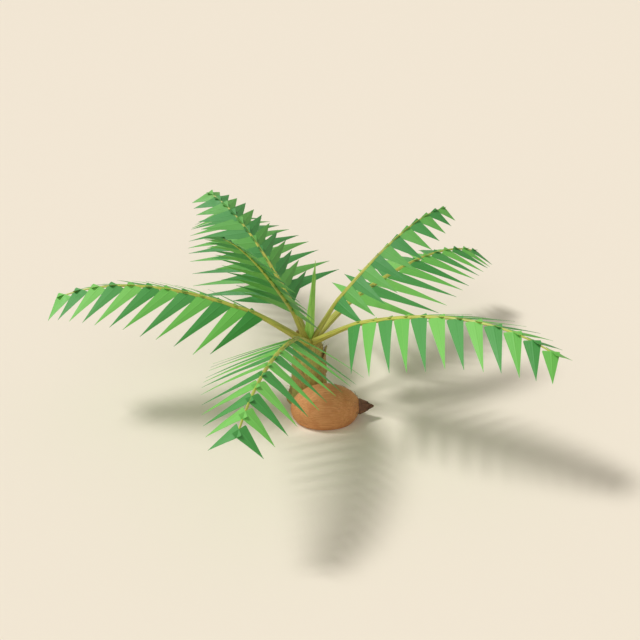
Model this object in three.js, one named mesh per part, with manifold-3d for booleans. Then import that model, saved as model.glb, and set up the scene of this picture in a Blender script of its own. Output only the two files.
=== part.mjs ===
// Young coconut palm with its seed nut against the foot of the trunk.
// Millimetres, +Z up. The origin lies on the flat cut under the trunk, at ground level, on the trunk's axis.
// The front of the palm faces -Y, and +X is to the right when it is seen from the front.

import * as THREE from 'three';
import { mergeVertices } from 'three/addons/utils/BufferGeometryUtils.js';
import Module from 'manifold-3d';

const wasm = await Module();
wasm.setup();

// Clearance between two pieces that are seated on each other
const SEAT = 0.3;

// Block that cuts the pieces off at ground level, wider than the palm and deeper than anything under it
const GROUND_BLOCK = { span: 2400, depth: 400 };

// Trunk: true taper with a flared foot, and a low dome at the top that the petioles are set in
const TRUNK = {
  topRadius: 59, footRadius: 74, flare: 16, flareHeight: 34,
  shoulderHeight: 246, domeTop: 290, sides: 24,
  ringHeights: [12, 30, 60, 105, 150, 200, 246], domeAngles: [25, 50, 75],
};

// Fronds: azimuth from +X anticlockwise seen from above and how far it turns to the side by the tip, length
// along the midrib, and the slope of its arc near the crown and at its tip. Then its leaflets: how far they
// point forward of square to the midrib at the first pair, how far they droop below the frond's own plane,
// and their length against the usual at the first pair and at the last. Angles are in degrees. The inner
// fronds are the younger ones. All arcs start from one height on the trunk's axis, and the petioles run in
// below them, steeper, at first.
const FROND_COLUMNS = [
  'name', 'azimuth', 'turn', 'length', 'rise', 'tipSlope', 'forward', 'droop', 'size', 'tipSize', 'inner',
];
const FRONDS = [
  ['young_frond_right', 1, 48, 811, 53, -8, 4, 35, 0.6, 0.83, true],
  ['young_frond_back', 134, 0, 731, 48, 10, 23, 18.5, 0.91, 1.24, true],
  ['young_frond_front', 219, 22, 760, 58, 35, 10, 12, 0.94, 0.94, true],
  ['frond_right', -35, 3, 1105, 27, -21, 24, 20.5, 0.92, 1.01, false],
  ['frond_back_right', 46, -6, 1050, 15, -26, 29.5, 20, 1.03, 1.03, false],
  ['frond_back_left', 112, 0, 1210, 14, -24, 29.5, 16.5, 1, 1, false],
  ['frond_left', 188, -6.5, 1015, 26.7, -21.2, 28.8, 20, 1.05, 1.07, false],
  ['frond_front', 260, -4.5, 1097, 24, -18, 27, 19, 0.93, 1.02, false],
].map((row) => Object.fromEntries(row.map((value, i) => [FROND_COLUMNS[i], value])));
const ARC_HEIGHT = 312;
const BEND_POWER = 2.4;
const PETIOLE = { drop: 50, share: 0.24, power: 1.25 };
const INNER_SEAT_RADIUS = 8;
const OUTER_SEAT_RADIUS = 30;

// Midrib: width across and height of its section, at stations along the length from 0 to 1, and the share of
// them that a young one has at the crown. Its rings stand closer together there, by the crowding power.
const MIDRIB_STATIONS = [0, 0.06, 0.2, 0.6, 1];
const MIDRIB_WIDTHS = [44, 36, 26, 14, 6];
const MIDRIB_HEIGHTS = [38, 31, 21, 11, 5];
const YOUNG_MIDRIB = 0.78;
const MIDRIB_SIDES = 6;
const MIDRIB_STEPS = 12;
const MIDRIB_CROWDING = 1.3;
const CURVE_STEPS = 60;

// Leaflets: twelve pairs, from the first station to the tip of the midrib. Lengths are shares of the midrib's
// length at the first pair and at the last, and the bow is what the middle pairs have more than that. The
// last pair points further forward than the first, by the gain in degrees. The broad roots of the blades lie
// across the midrib, and on the young fronds they still touch each other.
const LEAFLET = {
  pairs: 12, firstStation: 0.229,
  length: 0.333, tipLength: 0.114, lengthBow: 0.034,
  width: 63, tipWidth: 60, thickness: 4.6, fold: 0.24, shoulder: 0.02,
  sink: 7, forwardGain: 13, forwardPower: 0.75,
};

// Spear: the youngest leaf, still folded, standing in the middle of the crown. The fullness is its width at
// the foot and at the tip as shares of the widest, and the powers round its taper and its lean.
const SPEAR = {
  foot: 282, height: 378, width: 26, depth: 17, lean: 31, leanPower: 1.3, sides: 8, steps: 8,
  footFullness: 0.8, tipFullness: 0.04, taperPower: 2,
};

// Old leaf bases: clasping stubs of fallen leaves, a golden angle apart up the trunk. The tip keeps a small
// share of the foot's width, and the powers shape how a stub narrows and how its tip leans out.
const LEAF_BASE = {
  count: 6, firstAzimuth: 165, turn: 137.5, firstFoot: -34, climb: 42, height: 120,
  halfAngle: 50, tipShare: 0.03, narrowPower: 1.7, footThickness: 10, tipThickness: 3.5,
  sunk: 2, lean: 12, leanPower: 2.5, hiddenByNut: 1, cellsAcross: 6, cellsUp: 4,
};

// Seed nut: the husk lies on its side against the trunk and is sunk in the ground up to its flat cut
const NUT = {
  x: 69, y: -163, z: 57, halfLength: 141, radius: 100, turn: 3,
  ridges: 3, ridge: 0.03, sides: 20, rings: 12,
};

// Stem end: the profile of its scales from the nut outwards, in shares of its radius and of its length
const STEM_END = {
  radius: 34, length: 58, sides: 8,
  radiusShares: [0.9, 1, 0.8, 0.46, 0.1], lengthShares: [-0.25, 0, 0.25, 0.6, 0.97],
};

const GREEN_YOUNG = '#6fb548';
const GREEN_GROWN = '#4f9a48';
const SPEAR_GREEN = '#9ac24a';
const TRUNK_OLIVE = '#7d7440';
const SHEATH_BROWN = '#80603c';
const HUSK_BROWN = '#a87043';
const STEM_END_BROWN = '#54301f';

const radians = THREE.MathUtils.degToRad;

// Value at x on the line through the given stations
function interpolate(x, stations, values) {
  let i = 1;
  while (i < stations.length - 1 && x > stations[i]) {
    i += 1;
  }
  const span = stations[i] - stations[i - 1];
  return THREE.MathUtils.lerp(values[i - 1], values[i], (x - stations[i - 1]) / span);
}

// Closed three.js shape as a solid that can be joined and cut
function solidOf(geometry) {
  const bare = geometry.clone();
  bare.deleteAttribute('normal');
  bare.deleteAttribute('uv');
  const merged = mergeVertices(bare, 1e-4);
  return new wasm.Manifold(new wasm.Mesh({
    numProp: 3,
    vertProperties: new Float32Array(merged.attributes.position.array),
    triVerts: new Uint32Array(merged.index.array),
  }));
}

// Solid as a named mesh with its own material
function meshOf(name, solid, color, roughness) {
  const raw = solid.getMesh();
  const geometry = new THREE.BufferGeometry();
  geometry.setAttribute('position', new THREE.BufferAttribute(Float32Array.from(raw.vertProperties), 3));
  geometry.setIndex(new THREE.BufferAttribute(Uint32Array.from(raw.triVerts), 1));
  geometry.computeVertexNormals();
  const mesh = new THREE.Mesh(geometry, new THREE.MeshStandardMaterial({ color, roughness, metalness: 0 }));
  mesh.name = name;
  return mesh;
}

// Moves every vertex of a geometry by a function of its place
function reshape(geometry, place) {
  const position = geometry.attributes.position;
  const vertex = new THREE.Vector3();
  for (let i = 0; i < position.count; i += 1) {
    vertex.fromBufferAttribute(position, i);
    vertex.copy(place(vertex));
    position.setXYZ(i, vertex.x, vertex.y, vertex.z);
  }
  return geometry;
}

// Largest piece of a solid, without the loose scraps that a cut can leave
function largestPiece(solid) {
  const pieces = solid.decompose();
  pieces.sort((a, b) => b.volume() - a.volume());
  return pieces[0];
}

// Line of a midrib: an arc whose slope falls faster towards the tip, and that may turn to the side
class MidribCurve extends THREE.Curve {
  constructor(frond) {
    super();
    this.frond = frond;
    this.up = new THREE.Vector3(0, 0, 1);
    this.marks = [new THREE.Vector3(0, 0, ARC_HEIGHT)];
    const step = frond.length / CURVE_STEPS;
    for (let i = 0; i < CURVE_STEPS; i += 1) {
      const t = (i + 0.5) / CURVE_STEPS;
      const mark = this.marks[i].clone();
      mark.addScaledVector(this.outwards(t), Math.cos(this.slope(t)) * step);
      mark.addScaledVector(this.up, Math.sin(this.slope(t)) * step);
      this.marks.push(mark);
    }
  }

  // Slope of the arc
  slope(t) {
    const { rise, tipSlope } = this.frond;
    return radians(rise + (tipSlope - rise) * Math.max(t, 0) ** BEND_POWER);
  }

  // Level direction that the arc heads in
  outwards(t) {
    const azimuth = radians(this.frond.azimuth + this.frond.turn * t);
    return new THREE.Vector3(Math.cos(azimuth), Math.sin(azimuth), 0);
  }

  // Level direction to the right of the arc, looking outwards
  right(t) {
    return this.outwards(t).cross(this.up);
  }

  // What is left of the petiole's drop, from 1 at the crown to 0
  left(t) {
    return Math.max(1 - t / PETIOLE.share, 0);
  }

  getPoint(t) {
    const i = THREE.MathUtils.clamp(Math.floor(t * CURVE_STEPS), 0, CURVE_STEPS - 1);
    const point = this.marks[i].clone().lerp(this.marks[i + 1], t * CURVE_STEPS - i);
    return point.addScaledVector(this.up, -PETIOLE.drop * this.left(t) ** PETIOLE.power);
  }

  getTangent(t) {
    const slope = this.slope(t);
    const steepening = PETIOLE.drop * PETIOLE.power / PETIOLE.share * this.left(t) ** (PETIOLE.power - 1);
    return this.outwards(t).multiplyScalar(Math.cos(slope))
      .addScaledVector(this.up, Math.sin(slope) + steepening / this.frond.length)
      .normalize();
  }

  getNormal(t) {
    return this.right(t).cross(this.getTangent(t));
  }

  // Share of the length at which the midrib is this far from the trunk's axis
  shareAtRadius(radius) {
    return radius / (this.frond.length * Math.cos(this.slope(0)));
  }
}

// Petiole and midrib: a tapered limb, rounded below and flatter above
function midribSolid(curve, from, to, margin) {
  const young = curve.frond.inner ? YOUNG_MIDRIB : 1;
  const bar = new THREE.CylinderGeometry(1, 1, 1, MIDRIB_SIDES, MIDRIB_STEPS);
  reshape(bar, (v) => {
    const t = THREE.MathUtils.lerp(from, to, (v.y + 0.5) ** MIDRIB_CROWDING);
    const share = THREE.MathUtils.lerp(young, 1, t);
    const across = share * interpolate(t, MIDRIB_STATIONS, MIDRIB_WIDTHS) / 2 + margin;
    const height = share * interpolate(t, MIDRIB_STATIONS, MIDRIB_HEIGHTS) / 2 + margin;
    return curve.getPoint(t)
      .addScaledVector(curve.right(t), v.x * across)
      .addScaledVector(curve.getNormal(t), v.z * height);
  });
  return solidOf(bar);
}

// Frame of one leaflet: its root on the midrib, its own directions and its size
function leafletFrame(curve, pair, side) {
  const u = pair / (LEAFLET.pairs - 1);
  const t = THREE.MathUtils.lerp(LEAFLET.firstStation, 1, u);
  const bow = 4 * LEAFLET.lengthBow * u * (1 - u);
  const { frond } = curve;
  const usual = frond.length * (THREE.MathUtils.lerp(LEAFLET.length, LEAFLET.tipLength, u) + bow);
  const length = usual * THREE.MathUtils.lerp(frond.size, frond.tipSize, u);
  const forward = radians(frond.forward + LEAFLET.forwardGain * u ** LEAFLET.forwardPower);
  const droop = radians(frond.droop);
  const tangent = curve.getTangent(t);
  const along = curve.right(t).multiplyScalar(side * Math.cos(forward) * Math.cos(droop))
    .addScaledVector(tangent, Math.sin(forward) * Math.cos(droop))
    .addScaledVector(curve.getNormal(t), -Math.sin(droop))
    .normalize();
  const across = tangent.clone().addScaledVector(along, -tangent.dot(along)).normalize().multiplyScalar(side);
  const above = along.clone().cross(across);
  return { root: curve.getPoint(t), along, across, above, length, u };
}

// Leaflet: a folded blade, widest at its root, that runs out to a point
function leafletSolid(curve, pair, side) {
  const { root, along, across, above, length, u } = leafletFrame(curve, pair, side);
  const halfWidth = THREE.MathUtils.lerp(LEAFLET.width, LEAFLET.tipWidth, u) / 2;
  const blade = new THREE.OctahedronGeometry(1, 0);
  reshape(blade, (v) => {
    const distance = v.x > 0 ? length : v.x < 0 ? -LEAFLET.sink : length * LEAFLET.shoulder;
    const rise = v.z * LEAFLET.thickness / 2 - Math.abs(v.y) * halfWidth * LEAFLET.fold;
    return root.clone()
      .addScaledVector(along, distance)
      .addScaledVector(across, v.y * halfWidth)
      .addScaledVector(above, rise);
  });
  return solidOf(blade);
}

function seatShare(frond, curve) {
  return curve.shareAtRadius(frond.inner ? INNER_SEAT_RADIUS : OUTER_SEAT_RADIUS);
}

// Whole frond: midrib with its leaflets, cut clear of what stands inside it at the crown
function frondSolid(frond, inTheWay) {
  const curve = new MidribCurve(frond);
  let solid = midribSolid(curve, seatShare(frond, curve), 1, 0);
  for (let pair = 0; pair < LEAFLET.pairs; pair += 1) {
    for (const side of [-1, 1]) {
      solid = solid.add(leafletSolid(curve, pair, side));
    }
  }
  for (const other of inTheWay) {
    solid = solid.subtract(other);
  }
  return largestPiece(solid);
}

// Space that a petiole takes at the crown, with the seat's clearance all round
function petioleSpace(frond) {
  const curve = new MidribCurve(frond);
  const from = seatShare(frond, curve);
  return midribSolid(curve, from - SEAT / frond.length, 1, SEAT);
}

// Spear leaf: a folded blade that tapers to a point
function spearSolid(margin) {
  const bar = new THREE.CylinderGeometry(1, 1, 1, SPEAR.sides, SPEAR.steps);
  reshape(bar, (v) => {
    const t = v.y + 0.5;
    const taper = Math.max(1 - t ** SPEAR.taperPower, SPEAR.tipFullness);
    const fullness = Math.min(SPEAR.footFullness + t, 1) * taper;
    return new THREE.Vector3(
      v.x * (fullness * SPEAR.width / 2 + margin) + SPEAR.lean * t ** SPEAR.leanPower,
      -v.z * (fullness * SPEAR.depth / 2 + margin),
      SPEAR.foot + SPEAR.height * t + margin * Math.sign(t - 0.5),
    );
  });
  return solidOf(bar);
}

// Trunk's radius at a height, below its shoulder
function trunkRadius(height) {
  const taper = THREE.MathUtils.lerp(TRUNK.footRadius, TRUNK.topRadius, height / TRUNK.shoulderHeight);
  return taper + TRUNK.flare * Math.exp(-height / TRUNK.flareHeight);
}

function trunkSolid(margin) {
  const foot = new THREE.Vector2(trunkRadius(0) + margin, -margin);
  const profile = [new THREE.Vector2(0, -margin), foot];
  for (const height of TRUNK.ringHeights) {
    profile.push(new THREE.Vector2(trunkRadius(height) + margin, height));
  }
  const domeRise = TRUNK.domeTop - TRUNK.shoulderHeight;
  for (const angle of TRUNK.domeAngles) {
    const radius = TRUNK.topRadius * Math.cos(radians(angle)) + margin;
    profile.push(new THREE.Vector2(radius, TRUNK.shoulderHeight + domeRise * Math.sin(radians(angle))));
  }
  profile.push(new THREE.Vector2(0, TRUNK.domeTop + margin));
  return solidOf(new THREE.LatheGeometry(profile, TRUNK.sides).rotateX(Math.PI / 2));
}

// Block under the ground, for the flat cuts at ground level
function groundBlock() {
  const { span, depth } = GROUND_BLOCK;
  return solidOf(new THREE.BoxGeometry(span, span, depth).translate(0, 0, -depth / 2));
}

// Old leaf base: a pointed plate that clasps the trunk and leans away from it at its tip
function leafBaseSolid(index, keepClear) {
  const azimuth = radians(LEAF_BASE.firstAzimuth + LEAF_BASE.turn * index);
  const foot = LEAF_BASE.firstFoot + LEAF_BASE.climb * index;
  const groundShare = Math.max(0, -foot / LEAF_BASE.height);
  const plate = new THREE.BoxGeometry(1, 1, 1, LEAF_BASE.cellsAcross, LEAF_BASE.cellsUp, 1);
  reshape(plate, (v) => {
    const t = THREE.MathUtils.lerp(groundShare, 1, v.y + 0.5);
    const narrowing = 1 + LEAF_BASE.tipShare - t ** LEAF_BASE.narrowPower;
    const angle = azimuth + 2 * v.x * radians(LEAF_BASE.halfAngle) * narrowing;
    const height = foot + LEAF_BASE.height * t;
    const thickness = THREE.MathUtils.lerp(LEAF_BASE.footThickness, LEAF_BASE.tipThickness, t);
    const leanOut = (LEAF_BASE.lean + LEAF_BASE.sunk) * t ** LEAF_BASE.leanPower;
    const inner = trunkRadius(height) - LEAF_BASE.sunk + leanOut;
    const radius = inner + (0.5 + v.z) * thickness;
    return new THREE.Vector3(radius * Math.cos(angle), radius * Math.sin(angle), height);
  });
  let solid = solidOf(plate);
  for (const other of keepClear) {
    solid = solid.subtract(other);
  }
  return largestPiece(solid);
}

// Husk: an egg shape on its side with three soft ridges along it
function huskSolid(margin) {
  const egg = new THREE.SphereGeometry(1, NUT.sides, NUT.rings).rotateZ(-Math.PI / 2);
  reshape(egg, (v) => {
    const around = Math.atan2(v.z, v.y);
    const radius = NUT.radius * (1 + NUT.ridge * Math.cos(NUT.ridges * around)) + margin;
    return new THREE.Vector3(v.x * (NUT.halfLength + margin), v.y * radius, v.z * radius);
  });
  egg.rotateZ(radians(NUT.turn)).translate(NUT.x, NUT.y, NUT.z);
  return solidOf(egg);
}

// Dried stem end of the nut: a cap of scales that closes to a blunt point
function stemEndSolid() {
  const { radius, length, sides, radiusShares, lengthShares } = STEM_END;
  const profile = radiusShares.map((share, i) => new THREE.Vector2(radius * share, length * lengthShares[i]));
  profile.unshift(new THREE.Vector2(0, profile[0].y));
  profile.push(new THREE.Vector2(0, length));
  const cap = new THREE.LatheGeometry(profile, sides);
  cap.rotateZ(-Math.PI / 2).translate(NUT.halfLength, 0, 0);
  cap.rotateZ(radians(NUT.turn)).translate(NUT.x, NUT.y, NUT.z);
  return solidOf(cap);
}

const palm = new THREE.Group();
const ground = groundBlock();

// Crown, from the middle outwards: each piece is cut clear of those that stand inside it
palm.add(meshOf('spear_leaf', spearSolid(0), SPEAR_GREEN, 0.5));
const spaces = [spearSolid(SEAT)];
for (const frond of FRONDS) {
  palm.add(meshOf(frond.name, frondSolid(frond, spaces), frond.inner ? GREEN_YOUNG : GREEN_GROWN, 0.5));
  spaces.push(petioleSpace(frond));
}

// Foot: the nut rests on the ground, and the trunk is cut clear of it and of the petioles in its dome
const nutSpace = huskSolid(SEAT);
palm.add(meshOf('seed_nut', huskSolid(0).subtract(ground), HUSK_BROWN, 0.8));
palm.add(meshOf('seed_stem_end', stemEndSolid().subtract(nutSpace), STEM_END_BROWN, 0.9));
let trunk = trunkSolid(0).subtract(nutSpace);
for (const space of spaces) {
  trunk = trunk.subtract(space);
}
palm.add(meshOf('trunk', largestPiece(trunk), TRUNK_OLIVE, 0.85));

const clearOfTrunk = [trunkSolid(SEAT), nutSpace, ...spaces];
for (let i = 0; i < LEAF_BASE.count; i += 1) {
  if (i !== LEAF_BASE.hiddenByNut) {
    palm.add(meshOf(`leaf_base_${i + 1}`, leafBaseSolid(i, clearOfTrunk), SHEATH_BROWN, 0.9));
  }
}

export default palm;
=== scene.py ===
"""Looks of a young coconut palm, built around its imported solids.

Metres, +Z up, ground level at Z 0, the front of the palm towards -Y. The fronds' lines, the trunk's taper and
the husk's shape follow the rules that the solids were made by.
"""

import logging
import math
from collections.abc import Iterator
from contextlib import contextmanager
from dataclasses import dataclass, field, replace
from enum import Enum

import bmesh
import bpy
import numpy as np
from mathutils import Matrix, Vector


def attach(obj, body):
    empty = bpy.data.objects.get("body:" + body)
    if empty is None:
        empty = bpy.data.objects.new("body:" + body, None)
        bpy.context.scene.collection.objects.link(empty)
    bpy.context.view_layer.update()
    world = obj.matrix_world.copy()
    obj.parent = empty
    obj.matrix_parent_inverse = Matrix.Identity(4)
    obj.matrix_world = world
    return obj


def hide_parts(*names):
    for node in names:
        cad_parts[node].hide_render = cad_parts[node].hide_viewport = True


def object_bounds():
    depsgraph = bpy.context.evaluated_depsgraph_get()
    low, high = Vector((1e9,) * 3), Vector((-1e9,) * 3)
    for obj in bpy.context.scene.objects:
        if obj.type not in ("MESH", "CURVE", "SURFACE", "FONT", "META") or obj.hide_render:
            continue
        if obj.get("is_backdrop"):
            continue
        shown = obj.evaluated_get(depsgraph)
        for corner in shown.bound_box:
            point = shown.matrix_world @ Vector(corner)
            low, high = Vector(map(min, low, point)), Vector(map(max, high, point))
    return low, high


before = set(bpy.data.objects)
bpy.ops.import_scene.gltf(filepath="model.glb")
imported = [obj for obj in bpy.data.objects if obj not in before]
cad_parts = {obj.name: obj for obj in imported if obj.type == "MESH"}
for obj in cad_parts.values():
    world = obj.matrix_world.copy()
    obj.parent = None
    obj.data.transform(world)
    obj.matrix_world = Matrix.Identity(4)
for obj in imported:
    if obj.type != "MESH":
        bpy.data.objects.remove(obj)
cad_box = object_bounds()

LOG = logging.getLogger("palm")
MM = 0.001
TURN = 2 * math.pi
GOLDEN_ANGLE = 137.5
UP = np.array([0, 0, 1.0])
BODY = "root"
STRAIGHT = "straight"


class Source(Enum):
    """What a pattern is laid out on."""

    OBJECT = "the palm's own frame"
    STRAIGHT = "the piece's own axes, before it was bent"


class Tint(Enum):
    """The two greens that the pairs of leaflets take in turn."""

    LIGHT = 0
    DARK = 1

    def other(self) -> "Tint":
        """The tint of the next pair."""
        return Tint.DARK if self is Tint.LIGHT else Tint.LIGHT


# Numbers and shapes


def linear(code: str) -> tuple[float, float, float, float]:
    """Turns an sRGB colour into the linear one that the shaders take.

    Args:
        code: The colour as six hex digits after a hash.

    Returns:
        Linear red, green, blue and an alpha of 1.
    """
    shares = [int(code[i:i + 2], 16) / 255 for i in (1, 3, 5)]
    values = [c / 12.92 if c <= 0.04045 else ((c + 0.055) / 1.055) ** 2.4 for c in shares]
    return (*values, 1.0)


def smooth(x: np.ndarray) -> np.ndarray:
    """Smooth step from 0 to 1 as x goes from 0 to 1."""
    x = np.clip(x, 0, 1)
    return x * x * (3 - 2 * x)


def lerp(a: float, b: float, x: np.ndarray | float) -> np.ndarray | float:
    """Value at x on the line from a, at 0, to b, at 1."""
    return a + (b - a) * x


def unit(v: np.ndarray) -> np.ndarray:
    """Vectors of length 1 along the last axis."""
    return v / np.linalg.norm(v, axis=-1, keepdims=True)


def level(angle: float) -> np.ndarray:
    """Level direction at an angle from +X, in radians."""
    return np.array([math.cos(angle), math.sin(angle), 0.0])


def uneven(
    x: np.ndarray, rng: np.random.Generator, waves: int, weakest: float, pitches: tuple[float, float],
) -> np.ndarray:
    """Uneven line, such as a torn edge.

    Args:
        x: Places along the line.
        rng: Random numbers.
        waves: Number of waves that it is summed up from.
        weakest: Height of the weakest wave, where the strongest has 1.
        pitches: Fewest and most radians of a wave to a unit of x.

    Returns:
        Heights from -1 to 1.
    """
    total = np.zeros_like(x)
    for _ in range(waves):
        total += rng.uniform(weakest, 1) * np.cos(rng.uniform(*pitches) * x + rng.uniform(0, TURN))
    return total / waves


@dataclass(frozen=True)
class Streaks:
    """Streaky relief that runs along a round piece and closes where its seam meets.

    Attributes:
        height: Height that it mostly stays under.
        seed: Seed of the random waves.
        turns: Fewest streaks round the piece, and the number that they stay below.
        drift: How fast the streaks wander along the piece, in radians a metre.
        waves: Number of waves that it is summed up from.
        peak: How far the sum of the waves mostly reaches, in its usual deviations.
    """

    height: float
    seed: int
    turns: tuple[int, int]
    drift: float
    waves: int = 18
    peak: float = 1.6

    def at(self, around: np.ndarray, along: np.ndarray) -> np.ndarray:
        """Heights at angles round the piece, in radians, and at distances along it."""
        rng = np.random.default_rng(self.seed)
        total = np.zeros_like(around)
        for _ in range(self.waves):
            phase, turns = rng.uniform(0, TURN), rng.integers(*self.turns)
            total += np.cos(turns * around + rng.uniform(-self.drift, self.drift) * along + phase)
        return self.height * (total * math.sqrt(2 / self.waves) / self.peak)


# Modelling


def deselect_all() -> None:
    """Leaves no object selected."""
    bpy.ops.object.select_all(action="DESELECT")


def activate(obj: bpy.types.Object) -> None:
    """Selects one object alone and makes it active."""
    deselect_all()
    obj.select_set(True)
    bpy.context.view_layer.objects.active = obj


@contextmanager
def editing(obj: bpy.types.Object, mode: str = "FACE") -> Iterator[bmesh.types.BMesh]:
    """Edit mode on one object, with nothing selected in its mesh.

    Args:
        obj: The object to edit.
        mode: What is selected: VERT, EDGE or FACE.

    Yields:
        The mesh that is being edited.
    """
    activate(obj)
    bpy.ops.object.mode_set(mode="EDIT")
    bpy.ops.mesh.select_mode(type=mode)
    bpy.ops.mesh.select_all(action="DESELECT")
    yield bmesh.from_edit_mesh(obj.data)
    bpy.ops.object.mode_set(mode="OBJECT")


def apply_modifier(obj: bpy.types.Object, kind: str, **settings: float | int | str | bool) -> None:
    """Adds a modifier with its settings and applies it."""
    activate(obj)
    modifier = obj.modifiers.new(kind.lower(), kind)
    for name, value in settings.items():
        setattr(modifier, name, value)
    bpy.ops.object.modifier_apply(modifier=modifier.name)


@dataclass
class Template:
    """Shape that is modelled once, straight and in unit sizes, and then placed many times."""

    points: np.ndarray
    faces: list[tuple[int, ...]]

    @classmethod
    def taken_from(cls, obj: bpy.types.Object) -> "Template":
        """Reads an object's mesh, with its place applied, and removes the object."""
        activate(obj)
        bpy.ops.object.transform_apply(location=True, rotation=True, scale=True)
        mesh = obj.data
        points = np.zeros(len(mesh.vertices) * 3)
        mesh.vertices.foreach_get("co", points)
        faces = [tuple(face.vertices) for face in mesh.polygons]
        bpy.data.objects.remove(obj)
        bpy.data.meshes.remove(mesh)
        return cls(points.reshape(-1, 3), faces)

    def face_means(self, values: np.ndarray) -> np.ndarray:
        """Mean over each face of a value that every point has."""
        return np.array([values[list(face)].mean() for face in self.faces])


def model_slab(along: int, across: int) -> Template:
    """Models a flat slab: X from 0 to 1 along it, Y from -1 to 1 across, Z from -0.5 to 0.5 through it.

    Args:
        along: Faces along the slab.
        across: Faces across it.

    Returns:
        The slab as a template.
    """
    deselect_all()
    bpy.ops.mesh.primitive_grid_add(x_subdivisions=along, y_subdivisions=across, size=2)
    slab = bpy.context.active_object
    with editing(slab):
        bpy.ops.mesh.select_all(action="SELECT")
        bpy.ops.transform.translate(value=(1, 0, 0))
        bpy.ops.transform.resize(value=(0.5, 1, 1), center_override=(0, 0, 0))
    apply_modifier(slab, "SOLIDIFY", thickness=1.0, offset=0.0)
    return Template.taken_from(slab)


def model_bar(sides: int, cuts: int) -> Template:
    """Models a round bar of radius 1 round Z, from 0 to 1 along it.

    Args:
        sides: Faces round the bar.
        cuts: Rings cut between its ends.

    Returns:
        The bar as a template.
    """
    deselect_all()
    bpy.ops.mesh.primitive_cylinder_add(vertices=sides, radius=1, depth=1, location=(0, 0, 0.5))
    bar = bpy.context.active_object
    with editing(bar, "EDGE") as mesh:
        for edge in mesh.edges:
            edge.select_set(abs(edge.verts[0].co.z - edge.verts[1].co.z) > 0.5)
        bmesh.update_edit_mesh(bar.data)
        bpy.ops.mesh.subdivide(number_cuts=cuts)
    return Template.taken_from(bar)


def model_ball(segments: int, rings: int) -> Template:
    """Models a ball of radius 1 with its poles on X."""
    deselect_all()
    bpy.ops.mesh.primitive_uv_sphere_add(
        segments=segments, ring_count=rings, radius=1, rotation=(0, math.pi / 2, 0),
    )
    return Template.taken_from(bpy.context.active_object)


def model_bead() -> Template:
    """Models a small ball of few faces."""
    deselect_all()
    bpy.ops.mesh.primitive_ico_sphere_add(subdivisions=2, radius=1)
    return Template.taken_from(bpy.context.active_object)


def make_piece(
    name: str,
    points: np.ndarray,
    faces: list[tuple[int, ...]],
    straight: np.ndarray,
    materials: list[bpy.types.Material],
    face_materials: np.ndarray | int = 0,
) -> bpy.types.Object:
    """Makes an object at the origin from placed points.

    Args:
        name: The piece's name.
        points: Its points in the palm's frame.
        faces: Its faces, each a tuple of point numbers.
        straight: Each point's place on the straight, unbent piece.
        materials: Its materials.
        face_materials: Which of them each face takes.

    Returns:
        The new object, shaded smooth apart from its sharp edges.
    """
    mesh = bpy.data.meshes.new(name)
    mesh.from_pydata(points.tolist(), [], faces)
    attribute = mesh.attributes.new(STRAIGHT, "FLOAT_VECTOR", "POINT")
    attribute.data.foreach_set("vector", straight.astype(np.float32).ravel())
    for material in materials:
        mesh.materials.append(material)
    mesh.polygons.foreach_set("material_index", np.broadcast_to(face_materials, len(faces)).astype(np.int32))
    mesh.update()
    obj = bpy.data.objects.new(name, mesh)
    bpy.context.scene.collection.objects.link(obj)
    activate(obj)
    bpy.ops.object.shade_smooth_by_angle(angle=math.radians(50))
    return obj


def settle(obj: bpy.types.Object, slot: str, *nodes: str) -> bpy.types.Object:
    """Makes a finished piece part of the palm.

    Args:
        obj: The piece.
        slot: Name of its material slot, which is only written to the log.
        nodes: The solids that it stands for.

    Returns:
        The same piece.
    """
    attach(obj, BODY)
    if nodes:
        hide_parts(*nodes)
    triangles = sum(len(face.vertices) - 2 for face in obj.data.polygons)
    stands_for = ", ".join(nodes) or "nothing"
    LOG.info("%s: %d triangles, slot %s, stands for %s", obj.name, triangles, slot, stands_for)
    return obj


@dataclass
class Bundle:
    """Many small closed shapes, gathered to be joined into one mesh."""

    points: list[np.ndarray] = field(default_factory=list)
    straight: list[np.ndarray] = field(default_factory=list)
    faces: list[tuple[int, ...]] = field(default_factory=list)
    face_materials: list[np.ndarray] = field(default_factory=list)
    count: int = 0

    def add(
        self, template: Template, points: np.ndarray, straight: np.ndarray, material: np.ndarray | int,
    ) -> None:
        """Adds one placed copy of a template.

        Args:
            template: The shape whose faces it has.
            points: Where its points are in the palm's frame.
            straight: Each point's place on the straight shape.
            material: Number of its material, or one number a face.
        """
        self.points.append(points)
        self.straight.append(straight)
        self.faces += [tuple(i + self.count for i in face) for face in template.faces]
        self.face_materials.append(np.broadcast_to(material, len(template.faces)))
        self.count += len(points)

    def piece(self, name: str, materials: list[bpy.types.Material]) -> bpy.types.Object:
        """Joins what was gathered into one object."""
        return make_piece(
            name, np.concatenate(self.points), self.faces, np.concatenate(self.straight),
            materials, np.concatenate(self.face_materials),
        )


# Finishes

# Most of a noise's values lie between the outer two of these
NOISE_LOW, NOISE_MIDDLE, NOISE_HIGH = 0.3, 0.5, 0.7
# Sockets of a Mix node that mixes colours: several of its sockets share a name, so they go by number
MIX_SHARE, MIX_UNDER, MIX_OVER, MIX_RESULT = 0, 6, 7, 2


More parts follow.
